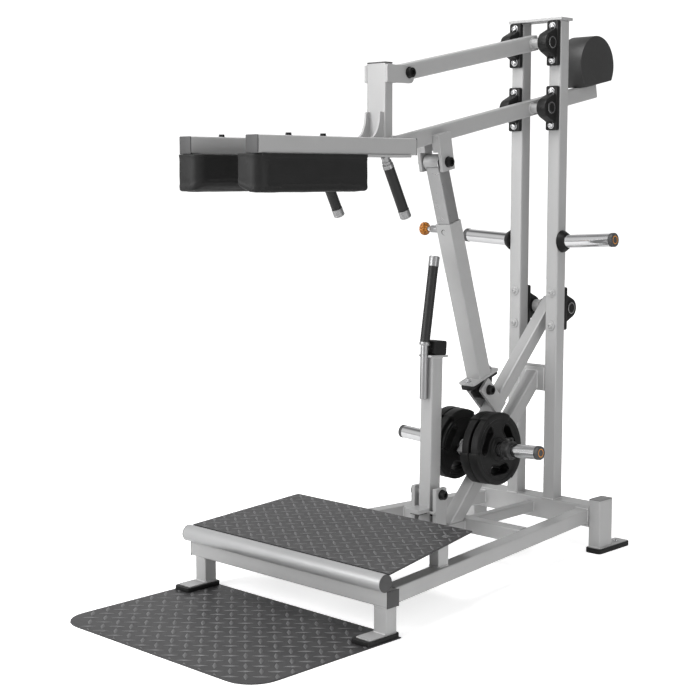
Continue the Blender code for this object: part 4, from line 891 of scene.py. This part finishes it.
def hand_grip(side, word):
    """Stem with a double collar, rubber sleeve and a turned end cap."""
    top = at(side * 0.146, 0.255, 1.400)
    end = at(side * 0.146, 0.348, 1.222)
    along = (end - top).normalized()
    start = top - along * ((1.4081 - top.z) / -along.z)
    long = (end - start).length
    neck = 0.034
    cap = long - 0.026
    stem = [(-0.004, 0.0130), (0.012, 0.0130), (0.0125, 0.0152), (0.0175, 0.0152), (0.018, 0.0140)]
    stem += [(0.022, 0.0140), (0.0225, 0.0172), (neck - 0.003, 0.0172), (neck - 0.001, 0.0178)]
    stem += [(neck + 0.001, 0.0178), (neck + 0.001, 0.0120)]
    cup = [(cap - 0.001, 0.0120), (cap - 0.001, 0.0182), (cap + 0.0015, 0.0184), (cap + 0.002, 0.0179)]
    cup += [(long - 0.006, 0.0179), (long - 0.0055, 0.0183), (long - 0.002, 0.0181), (long, 0.0165)]
    cup += [(long, 0.0095), (long - 0.0015, 0.0090)]
    metal = [solid_bar(start, along, stem, 48), solid_bar(start, along, cup, 48)]
    piece("grip_collar_" + word, "pad_frame", ALUMINIUM, metal)
    sleeve = [(neck, 0.0160), *ribs(neck + 0.001, cap - 0.002, 46, 0.0169, 0.0173), (cap - 0.0015, 0.0160)]
    rubber = solid_bar(start, along, sleeve, 36)
    piece("grip_sleeve_" + word, "pad_frame", GRIP_RUBBER, [rubber], ["grip_" + word])


# shoulder pads
def merged_copy(node, name):
    """The node's form as one welded mesh, ready to be worked on."""
    bm = bmesh.new()
    bm.from_mesh(frame["nodes"][node].data)
    bmesh.ops.remove_doubles(bm, verts=bm.verts, dist=2e-5)
    bmesh.ops.recalc_face_normals(bm, faces=bm.faces)
    return object_of(name, bm)


def applied(obj):
    """The modifiers' result as the object's own mesh."""
    graph = bpy.context.evaluated_depsgraph_get()
    made = bpy.data.meshes.new_from_object(obj.evaluated_get(graph))
    obj.modifiers.clear()
    old = obj.data
    obj.data = made
    bpy.data.meshes.remove(old)


def swell(obj, top, most):
    """Fills the cover with air, with its board's side held still, and keeps what moved outward."""
    held = obj.vertex_groups.new(name="on_the_board")
    held.add([v.index for v in obj.data.vertices if v.co.z > top - 0.006], 1.0, "REPLACE")
    rest = [(v.co.copy(), v.normal.copy()) for v in obj.data.vertices]
    cloth = obj.modifiers.new("cover", "CLOTH").settings
    cloth.quality = 6
    cloth.use_pressure = True
    cloth.uniform_pressure_force = 4.0
    cloth.tension_stiffness = 30
    cloth.compression_stiffness = 30
    cloth.shear_stiffness = 12
    cloth.effector_weights.gravity = 0
    cloth.vertex_group_mass = "on_the_board"
    for step in range(1, 21):
        bpy.context.scene.frame_set(step)
    applied(obj)
    for vert, (start, out) in zip(obj.data.vertices, rest):
        rise = (vert.co - start).dot(out)
        vert.co = start + out * min(most, max(0.0, rise))
    bpy.context.scene.frame_set(1)


def shoulder_pad(word):
    """A moulded cushion under its arm, swollen a little from the solid's form, with full edges."""
    node = "pad_" + word
    low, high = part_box(node)
    middle = (low + high) / 2
    obj = merged_copy(node, "cushion_" + word)
    modified(obj, "REMESH", mode="VOXEL", voxel_size=0.0036)
    applied(obj)
    for vert in obj.data.vertices:
        if vert.co.z < high.z - 0.01:
            vert.co.x += 0.0010 if vert.co.x < middle.x else -0.0010
    swell(obj, high.z, 0.0010)
    modified(obj, "SMOOTH", factor=0.5, iterations=4)
    applied(obj)
    modified(obj, "SUBSURF", levels=1, render_levels=1)
    applied(obj)
    facing = [vert.normal.copy() for vert in obj.data.vertices]
    wrap = 0.030
    for vert, out in zip(obj.data.vertices, facing):
        level = math.hypot(out.x, out.y)
        edge = 2 * level * abs(out.z) * (0.0050 if out.z < 0 else 0.0034)
        if vert.co.y > middle.y:
            edge += 2 * abs(out.x * out.y) * 0.0026
        vert.co += out * edge
        wrapped = (vert.co.z - (high.z - wrap)) / wrap
        if wrapped > 0:
            vert.co.z = min(vert.co.z, high.z) + 0.0074 * min(1.0, wrapped)
    shaded_smooth(obj, HIDE)
    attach(obj, "pad_frame")
    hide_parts(node)


# push link
PIN = LINK_TOP + LINK_ALONG * 0.239


def link_parts():
    """The bush and rings at the link's top, its bearing and bolts, and discs of painted shade in its holes.
    """
    def add(name, material, *shapes, replaces=()):
        piece(name, "push_link", material, shapes, replaces)

    bush = [(0, 0.0255), (0.0015, 0.0270), (0.0605, 0.0270), (0.0620, 0.0262), (0.0620, 0.0120)]
    add("link_top_bush", SILVER, solid_bar(LINK_TOP - X * 0.0372, X, bush, 64))
    ring = [(0, 0.0110), (0, 0.0258), (0.0008, 0.0264), (0.0030, 0.0264), (0.0034, 0.0110)]
    add("link_top_ring", ZINC, turned(LINK_TOP + X * 0.0250, X, ring, 48, True))
    spacer = [(0, 0.0110), (0, 0.0250), (0.0010, 0.0262), (0.0080, 0.0262), (0.0086, 0.0110)]
    add("link_top_spacer", BLACK_STEEL, turned(LINK_TOP + X * 0.0286, X, spacer, 48, True))
    casting = pillow_casting(LINK_FOOT, LINK_ALONG, LINK_FRONT, -0.0235, 0.0235, 0.0175)
    add("link_bearing_casting", CAST_BLACK, *casting, replaces=["link_bearing"])
    seat = (LINK_FOOT - LINK_TOP).length - FOOT_DROP
    point = [(0, 0.0055), (0.005, 0.0055), (0.006, 0.0045)]
    bolts = []
    for end in (-1, 1):
        reach = LINK_FRONT * (end * BOLT_REACH)
        spot = LINK_TOP + LINK_ALONG * (seat - 0.008) + reach
        bolts += bolted(spot, -LINK_ALONG, (0.0125, 0.0018, 0.006), 0.0015, hex_head, 0.0100, 0.0070)
        bolts.append(solid_bar(spot - LINK_ALONG * 0.008, -LINK_ALONG, point, 16))
        under = LINK_FOOT - LINK_ALONG * FOOT_TOP + reach
        bolts.append(button_head(under, LINK_ALONG, 0.0114, 0.0098, 0.0045))
    add("link_flange_bolts", ZINC, *bolts)
    sleeve = [(0, 0.0128), (0.030, 0.0128), (0.0305, 0.0124), (0.0495, 0.0124), (0.0515, 0.0112)]
    add("pin_sleeve", ALUMINIUM, solid_bar(PIN - X * 0.0295, -X, sleeve, 40))
    front = -LINK_FRONT
    hole = PIN + front * 0.0323
    # No hole is cut: a dark disc is the painted shade in the adjusting hole, and the silver disc set a little
    # off its middle leaves a crescent of painted shade.
    add("adjust_hole_shade", BLACK_STEEL, solid_bar(hole, front, [(0, 0.0100), (0.00035, 0.0100)], 36))
    bottom = hole + X * 0.0019 + LINK_ALONG * 0.0006
    add("adjust_hole_bottom", SILVER, solid_bar(bottom, front, [(0, 0.0086), (0.0005, 0.0086)], 36))
    # A small grey disc is the painted shade of the peg hole.
    upper = LINK_TOP + LINK_ALONG * 0.100 + front * 0.0282
    add("peg_hole_shade", CAP_LIGHT, solid_bar(upper, front, [(0, 0.0020), (0.00035, 0.0020)], 20))


def pull_knob():
    """A fluted knob on its plunger."""
    profile = [(0.0947, 0.0), (0.0947, 0.0110), (0.0985, 0.0128), (0.1010, 0.0165), (0.1032, 0.0208)]
    profile += [(0.1065, 0.0230), (0.1140, 0.0232), (0.1180, 0.0222), (0.1215, 0.0190), (0.1245, 0.0140)]
    profile += [(0.1262, 0.0070), (0.1265, 0.0)]

    def flute(reach, angle):
        return 1 - 0.045 * (0.5 + 0.5 * math.cos(16 * angle)) if reach > 0.015 else 1

    knob = moved_to(reshaped(lathed(profile, 96), flute), PIN, -X)
    piece("pull_knob", "pull_pin", KNOB_ORANGE, [knob])
    rod = [(0, 0.0049), (0.0212, 0.0049), (0.0214, 0.0078), (0.0345, 0.0082)]
    piece("pull_rod", "pull_pin", CHROME, [solid_bar(PIN - X * 0.0605, -X, rod, 28)], ["pull_pin"])


# horns, plates and clips
SLOPE = 0.054
LOAD_Y = 0.851
LOAD_Z = 0.402
PLATE_R = 0.1285
PLATE_WIDE = 0.0393
HOLE_MIDDLE = 0.0790
HOLE_HALF = 0.0188
HOLE_SWEEP = math.radians(50)


def horn_axis(side):
    return Vector((side, 0, SLOPE)).normalized()


def horn_point(x, y, z, side):
    return at(side * x, y, z + SLOPE * x)


def plate_horn(name, node, body, start, axis, lengths, radius, cap_r):
    """A chrome horn from its root, with an end cap, a plain ring and, where one shows, a rubber cone."""
    cone_end, tube, end = (length * math.hypot(1, SLOPE) for length in lengths)
    bar = solid_bar(start, axis, [(-0.001, radius), (tube, radius)], 64)
    piece(name + "_tube", body, CHROME, [bar], [node])
    cap = [(tube - 0.0005, cap_r - 0.0006), (tube + 0.001, cap_r), (end - 0.0035, cap_r)]
    cap += [(end - 0.001, cap_r - 0.0012), (end, cap_r - 0.004), (end, 0.0155), (end - 0.0008, 0.0152)]
    cap += [(end - 0.0008, 0.0115), (end, 0.0112)]
    piece(name + "_cap", body, CAP_GREY, [solid_bar(start, axis, cap, 64)])
    ring = [(end - 0.0010, 0.0120), (end - 0.0010, 0.0149), (end - 0.0003, 0.0149), (end - 0.0003, 0.0120)]
    piece(name + "_ring", body, ORANGE_RING, [turned(start, axis, ring, 64, True)])
    if cone_end:
        cone = [(0.0002, radius - 0.001), (0.0002, 0.0385), (0.002, 0.0400), (cone_end * 0.35, 0.0385)]
        cone += [(cone_end * 0.7, 0.0330), (cone_end - 0.003, 0.0305), (cone_end - 0.0008, 0.0290)]
        cone += [(cone_end, 0.0260), (cone_end, radius - 0.001)]
        piece(name + "_cone", body, PLATE_RUBBER, [turned(start, axis, cone, 56, True)])


def plate_matrix(start, axis):
    """Stands the plate's own Z on the horn, with its X turned up, so that a hole hangs lowest."""
    up = (Z - axis * Z.dot(axis)).normalized()
    return Matrix.Translation(start) @ Matrix((up, axis.cross(up), axis)).transposed().to_4x4()


def wedge(section, middle, sweep, steps):
    """Part of a ring: a section swept about Z, half of the sweep on each side of an angle."""
    bm = bmesh.new()
    bm.faces.new([bm.verts.new((radius, 0, distance)) for distance, radius in section])
    turn = Matrix.Rotation(middle - sweep / 2, 3, "Z")
    bmesh.ops.rotate(bm, cent=(0, 0, 0), matrix=turn, verts=bm.verts)
    return swept(bm, steps, sweep)


def bean(grow, steps=10):
    """A bean-shaped outline round a hand hole, as (angle, radius) pairs about the hub."""
    half = HOLE_HALF + grow
    for end in (1, -1):
        for i in range(steps + 1):
            turn = math.pi * i / steps - math.pi / 2
            swing = end * (HOLE_SWEEP / 2 + half * math.cos(turn) / HOLE_MIDDLE)
            yield swing, HOLE_MIDDLE + end * half * math.sin(-turn)


def hole_lip(wide, middle):
    """A rounded lip round a hand hole, through the plate's whole width."""
    bm = bmesh.new()
    rings = []
    for grow, depth in ((0.0, 0.0012), (0.0, wide - 0.0040), (0.0022, wide - 0.0032),
                        (0.0040, wide - 0.0056), (0.0060, wide - 0.0058), (0.0060, 0.0016)):
        ring = []
        for swing, reach in bean(grow):
            angle = middle + swing
            ring.append(bm.verts.new((math.cos(angle) * reach, math.sin(angle) * reach, depth)))
        rings.append([bm.edges.new((a, b)) for a, b in zip(ring, ring[1:] + ring[:1])])
    for lower, upper in zip(rings, rings[1:] + rings[:1]):
        bmesh.ops.bridge_loops(bm, edges=lower + upper)
    return bm


def rim_pad(wide, middle):
    """The full-width part of the rim between two hand holes."""
    section = [(0.0006, 0.1010), (0.0006, PLATE_R - 0.004), (0.0040, PLATE_R), (wide - 0.0040, PLATE_R)]
    section += [(wide - 0.0004, PLATE_R - 0.0035), (wide - 0.0004, 0.1085), (wide - 0.0046, 0.1045)]
    bm = wedge(section, middle, math.radians(60), 14)
    bmesh.ops.recalc_face_normals(bm, faces=bm.faces)
    return softened(bm, 0.0012, 2, 40)


def rubber_plate(name, node, body, side, first):
    """A grip plate: stepped rim, three bean-shaped hand holes with raised lips, and a ringed hub."""
    start = horn_point(first, LOAD_Y, LOAD_Z, side)
    axis = horn_axis(side)
    stand = plate_matrix(start, axis)
    wide = PLATE_WIDE
    back = 0.0012
    low = PLATE_R - 0.0038
    rim = [(back, 0.0940), (back, 0.1040), (0.0085, 0.1060), (0.0085, low - 0.002), (0.0105, low)]
    rim += [(wide - 0.0045, low), (wide - 0.0022, low - 0.0025), (wide - 0.0022, 0.1100)]
    rim += [(wide - 0.0046, 0.1070), (wide - 0.0050, 0.0940)]
    hub = [(back, 0.0254), (back, 0.0575), (wide - 0.0052, 0.0575), (wide - 0.0050, 0.0440)]
    hub += [(wide - 0.0022, 0.0420), (wide - 0.0002, 0.0405), (wide, 0.0385), (wide, 0.0350)]
    hub += [(wide - 0.0012, 0.0344), (wide - 0.0012, 0.0332), (wide, 0.0326), (wide, 0.0262)]
    hub.append((wide - 0.001, 0.0254))
    shapes = [turned(start, axis, rim, 96, True), turned(start, axis, hub, 72, True)]
    web = [(back + 0.0003, 0.0560), (back + 0.0003, 0.0955), (wide - 0.0052, 0.0955), (wide - 0.0052, 0.0560)]
    web_sweep = math.tau / 3 - HOLE_SWEEP - 2 * (HOLE_HALF - 0.004) / HOLE_MIDDLE
    for third in range(3):
        turn = third * math.tau / 3
        shapes.append(stood(wedge(web, turn, web_sweep, 18), stand))
        shapes.append(stood(hole_lip(wide, turn + math.pi / 3), stand))
        shapes.append(stood(rim_pad(wide, turn), stand))
    piece(name, body, PLATE_RUBBER, shapes, [node])


def clamp_collar(name, node, body, side, first):
    """The clamp behind the plates: a collar with two jaws and a folded lever, and a thin black block for the
    painted shade in its window.
    """
    start = horn_point(first + 0.1015, LOAD_Y, LOAD_Z, side)
    axis = horn_axis(side)
    loop = [(0, 0.0246), (0, 0.0325), (0.0015, 0.0335), (0.0075, 0.0335), (0.0085, 0.0290), (0.0225, 0.0290)]
    loop += [(0.0235, 0.0325), (0.0305, 0.0325), (0.0320, 0.0310), (0.0320, 0.0246)]
    up = (Z - axis * Z.dot(axis)).normalized()
    stand = Matrix.Translation(start) @ Matrix((axis.cross(up), up, axis)).transposed().to_4x4()
    shapes = [turned(start, axis, loop, 64, True)]
    for low, high in (
        ((-0.0125, 0.0255, 0.004), (-0.0045, 0.0400, 0.028)),
        ((0.0045, 0.0255, 0.004), (0.0125, 0.0400, 0.028)),
        ((-0.0145, 0.0375, 0.0075), (0.0145, 0.0425, 0.0245)),
    ):
        shapes.append(stood(block(low, high, 0.0016), stand))
    piece(name, body, CLAMP_BLACK, shapes, [node])
    # The window is not cut through: this thin black block on the collar is painted shade.
    window = block((-0.0310, -0.0075, 0.0105), (-0.0280, 0.0085, 0.0205), 0.0008)
    piece(name + "_window_shade", body, BOOT_RUBBER, [stood(window, stand)])


def weights():
    """The horns on both sides, and the loads on the lever's horns."""
    store, load = 0.1093, 0.0253
    for side, word in SIDES:
        axis = horn_axis(side)
        start = horn_point(store, 1.241, 1.110, side)
        lengths = (0.133 - store, 0.320 - store, 0.336 - store)
        plate_horn("store_" + word, "storage_horn_" + word, "frame", start, axis, lengths, 0.0235, 0.0250)
        start = horn_point(load, LOAD_Y, LOAD_Z, side)
        lengths = (0.0605 - load if side > 0 else 0, 0.299 - load, 0.3147 - load)
        plate_horn("load_" + word, "lever_horn_" + word, "weight_lever", start, axis, lengths, 0.0240, 0.0243)
        first = 0.0615 if side > 0 else 0.030
        body = "load_" + word
        for i, place in enumerate(("inner", "outer")):
            inmost = first + i * (PLATE_WIDE + 0.0003)
            rubber_plate(f"{place}_weight_{word}", f"{place}_plate_{word}", body, side, inmost)
        clamp_collar("clamp_" + word, "clip_" + word, body, side, first)


def counterweight():
    """A round steel weight on the lower arm's tail, flat where it sits on the arm."""
    low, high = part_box("counterweight")
    radius = 0.108
    centre = at(0, 1.532, 1.762)
    normal = X.cross((UPPER_REAR - UPPER_FRONT).normalized())
    lowest = (centre - LOWER_REAR).dot(normal) - 0.0273
    bm = bmesh.new()
    bmesh.ops.create_cone(bm, cap_ends=True, segments=96, radius1=radius, radius2=radius,
                          depth=high.x - low.x)
    bmesh.ops.rotate(bm, verts=bm.verts, cent=(0, 0, 0), matrix=Matrix.Rotation(math.pi / 2, 3, "Y"))
    bmesh.ops.translate(bm, verts=bm.verts, vec=centre)
    trimmed(bm, [(centre - normal * lowest, -normal)])
    bmesh.ops.recalc_face_normals(bm, faces=bm.faces)
    softened(bm, 0.0022, 2, 50)
    piece("round_weight", "lower_arm", WEIGHT_BLACK, [bm], ["counterweight"])


# stop post
def post_handle():
    """The bent handle on the stop post, with a ring, a rubber sleeve and an end cap."""
    y, radius = 0.5972, 0.0135
    foot = leaning(at(0, y, 0.598))
    bend = leaning(at(0, y, 0.7845))
    top = leaning(at(0, y + 0.0422, 1.082))
    rise = (bend - foot).normalized()
    lean = (top - bend).normalized()
    long = (top - bend).length
    tall = (bend - foot).length
    tube = [(0, radius - 0.0015), (0.0015, radius), (tall, radius), (tall + 0.003, radius - 0.0005)]
    ring = [(-0.003, 0.0130), (-0.003, 0.0172), (-0.0005, 0.0184), (0.0058, 0.0184), (0.0080, 0.0174)]
    ring.append((0.0080, 0.0130))
    cup = [(long - 0.034, 0.0150), (long - 0.034, 0.0181), (long - 0.0315, 0.0183), (long - 0.031, 0.0178)]
    cup += [(long - 0.0075, 0.0178), (long - 0.007, 0.0183), (long - 0.0025, 0.0181), (long, 0.0162)]
    cup += [(long, 0.0095), (long - 0.0015, 0.0090)]
    shapes = [solid_bar(foot, rise, tube, 56)]
    shapes += [solid_bar(bend, lean, profile, 56) for profile in (ring, cup)]
    piece("handle_tube", "stop_post", ALUMINIUM, shapes, ["post_handle"])
    sleeve = [(0.0075, 0.0155), *ribs(0.0083, long - 0.0345, 70, 0.0168, 0.0172), (long - 0.0342, 0.0155)]
    piece("handle_sleeve", "stop_post", GRIP_RUBBER, [solid_bar(bend, lean, sleeve, 40)])
    ends = [(leaning(at(x, 0.614, 0.7390)), leaning(at(x, 0.664, 0.7372))) for x in (-0.0262, 0.0262)]
    piece("crown_welds", "stop_post", WELD_PAINTED_HIGHLIGHT, [bead(*pair, 0.0022) for pair in ends], smooth=60)


# weld seams
RAIL_WIDE = 0.0525


def rail_out(y):
    """How far a splayed side rail's outer face stands from the machine's middle."""
    return 0.4267 - 0.1366 * y


def welds():
    """The frame's seams, each laid on both sides of the machine."""
    rear, cross = 1.215, -0.008
    standing = [(x, y, 0.110, 0.1485) for x, y in (
        (rail_out(rear) - RAIL_WIDE, 1.2140), (rail_out(rear), 1.2140),
        (rail_out(0.803) - RAIL_WIDE, 0.803), (rail_out(0.855) - RAIL_WIDE, 0.855),
        (rail_out(cross) - RAIL_WIDE, -0.0072), (rail_out(cross), -0.0072),
    )]
    standing += [(0.0565, y, 0.570, 0.653) for y in (1.2150, 1.2670)]
    standing += [(0.019, 0.8555, 0.110, 0.143), (0.0264, 1.2144, 0.575, 0.639)]
    across = (
        (rail_out(rear) - RAIL_WIDE, rail_out(rear), 1.2140, 0.1545),
        (0.060, 0.106, 1.2147, 0.1675), (0.060, 0.106, 1.2673, 0.1675), (0.343, 0.375, 0.2417, 0.1543),
        (0.381, 0.425, -0.0518, 0.1018), (0.381, 0.425, -0.0520, 0.0212),
        (0.267, 0.309, 1.2147, 0.0206), (0.267, 0.309, 1.2963, 0.0206),
    )
    rearward = (
        (0.058, 1.219, 1.263, 0.1675), (0.108, 1.219, 1.263, 0.1675),
        (0.339, 0.246, 0.288, 0.1543), (0.379, 0.246, 0.288, 0.1543),
        (0.377, -0.048, -0.007, 0.1018), (0.429, -0.048, -0.007, 0.1018), (0.3768, -0.048, -0.007, 0.0212),
    )
    seams = []
    for side in (1, -1):
        seams += [bead(at(side * x, y, low), at(side * x, y, high)) for x, y, low, high in standing]
        seams += [bead(at(side * inner, y, z), at(side * outer, y, z)) for inner, outer, y, z in across]
        seams += [bead(at(side * x, front, z), at(side * x, back, z)) for x, front, back, z in rearward]
        for x, y, low, high in ((0.026, 0.803, 0.104, 0.145), (0.019, rear, 0.110, 0.143)):
            seams.append(bead(at(side * x, y, low), at(side * x, y, high), 0.0024))
    seams.append(bead(at(-0.025, 1.2144, 0.6405), at(0.025, 1.2144, 0.6405)))
    # The seams take the paler coat, which paints their highlight.
    piece("frame_welds", "frame", WELD_PAINTED_HIGHLIGHT, seams, smooth=60)


stand_camera()
studio()
dress_solids()
tread_plates()
foot_roller()
floor_bolts()
tube_plugs()
bearings()
pivot_bolts()
pad_arm_bolts()
pad_boards()
for side, word in SIDES:
    hand_grip(side, word)
    shoulder_pad(word)
link_parts()
pull_knob()
weights()
counterweight()
post_handle()
welds()
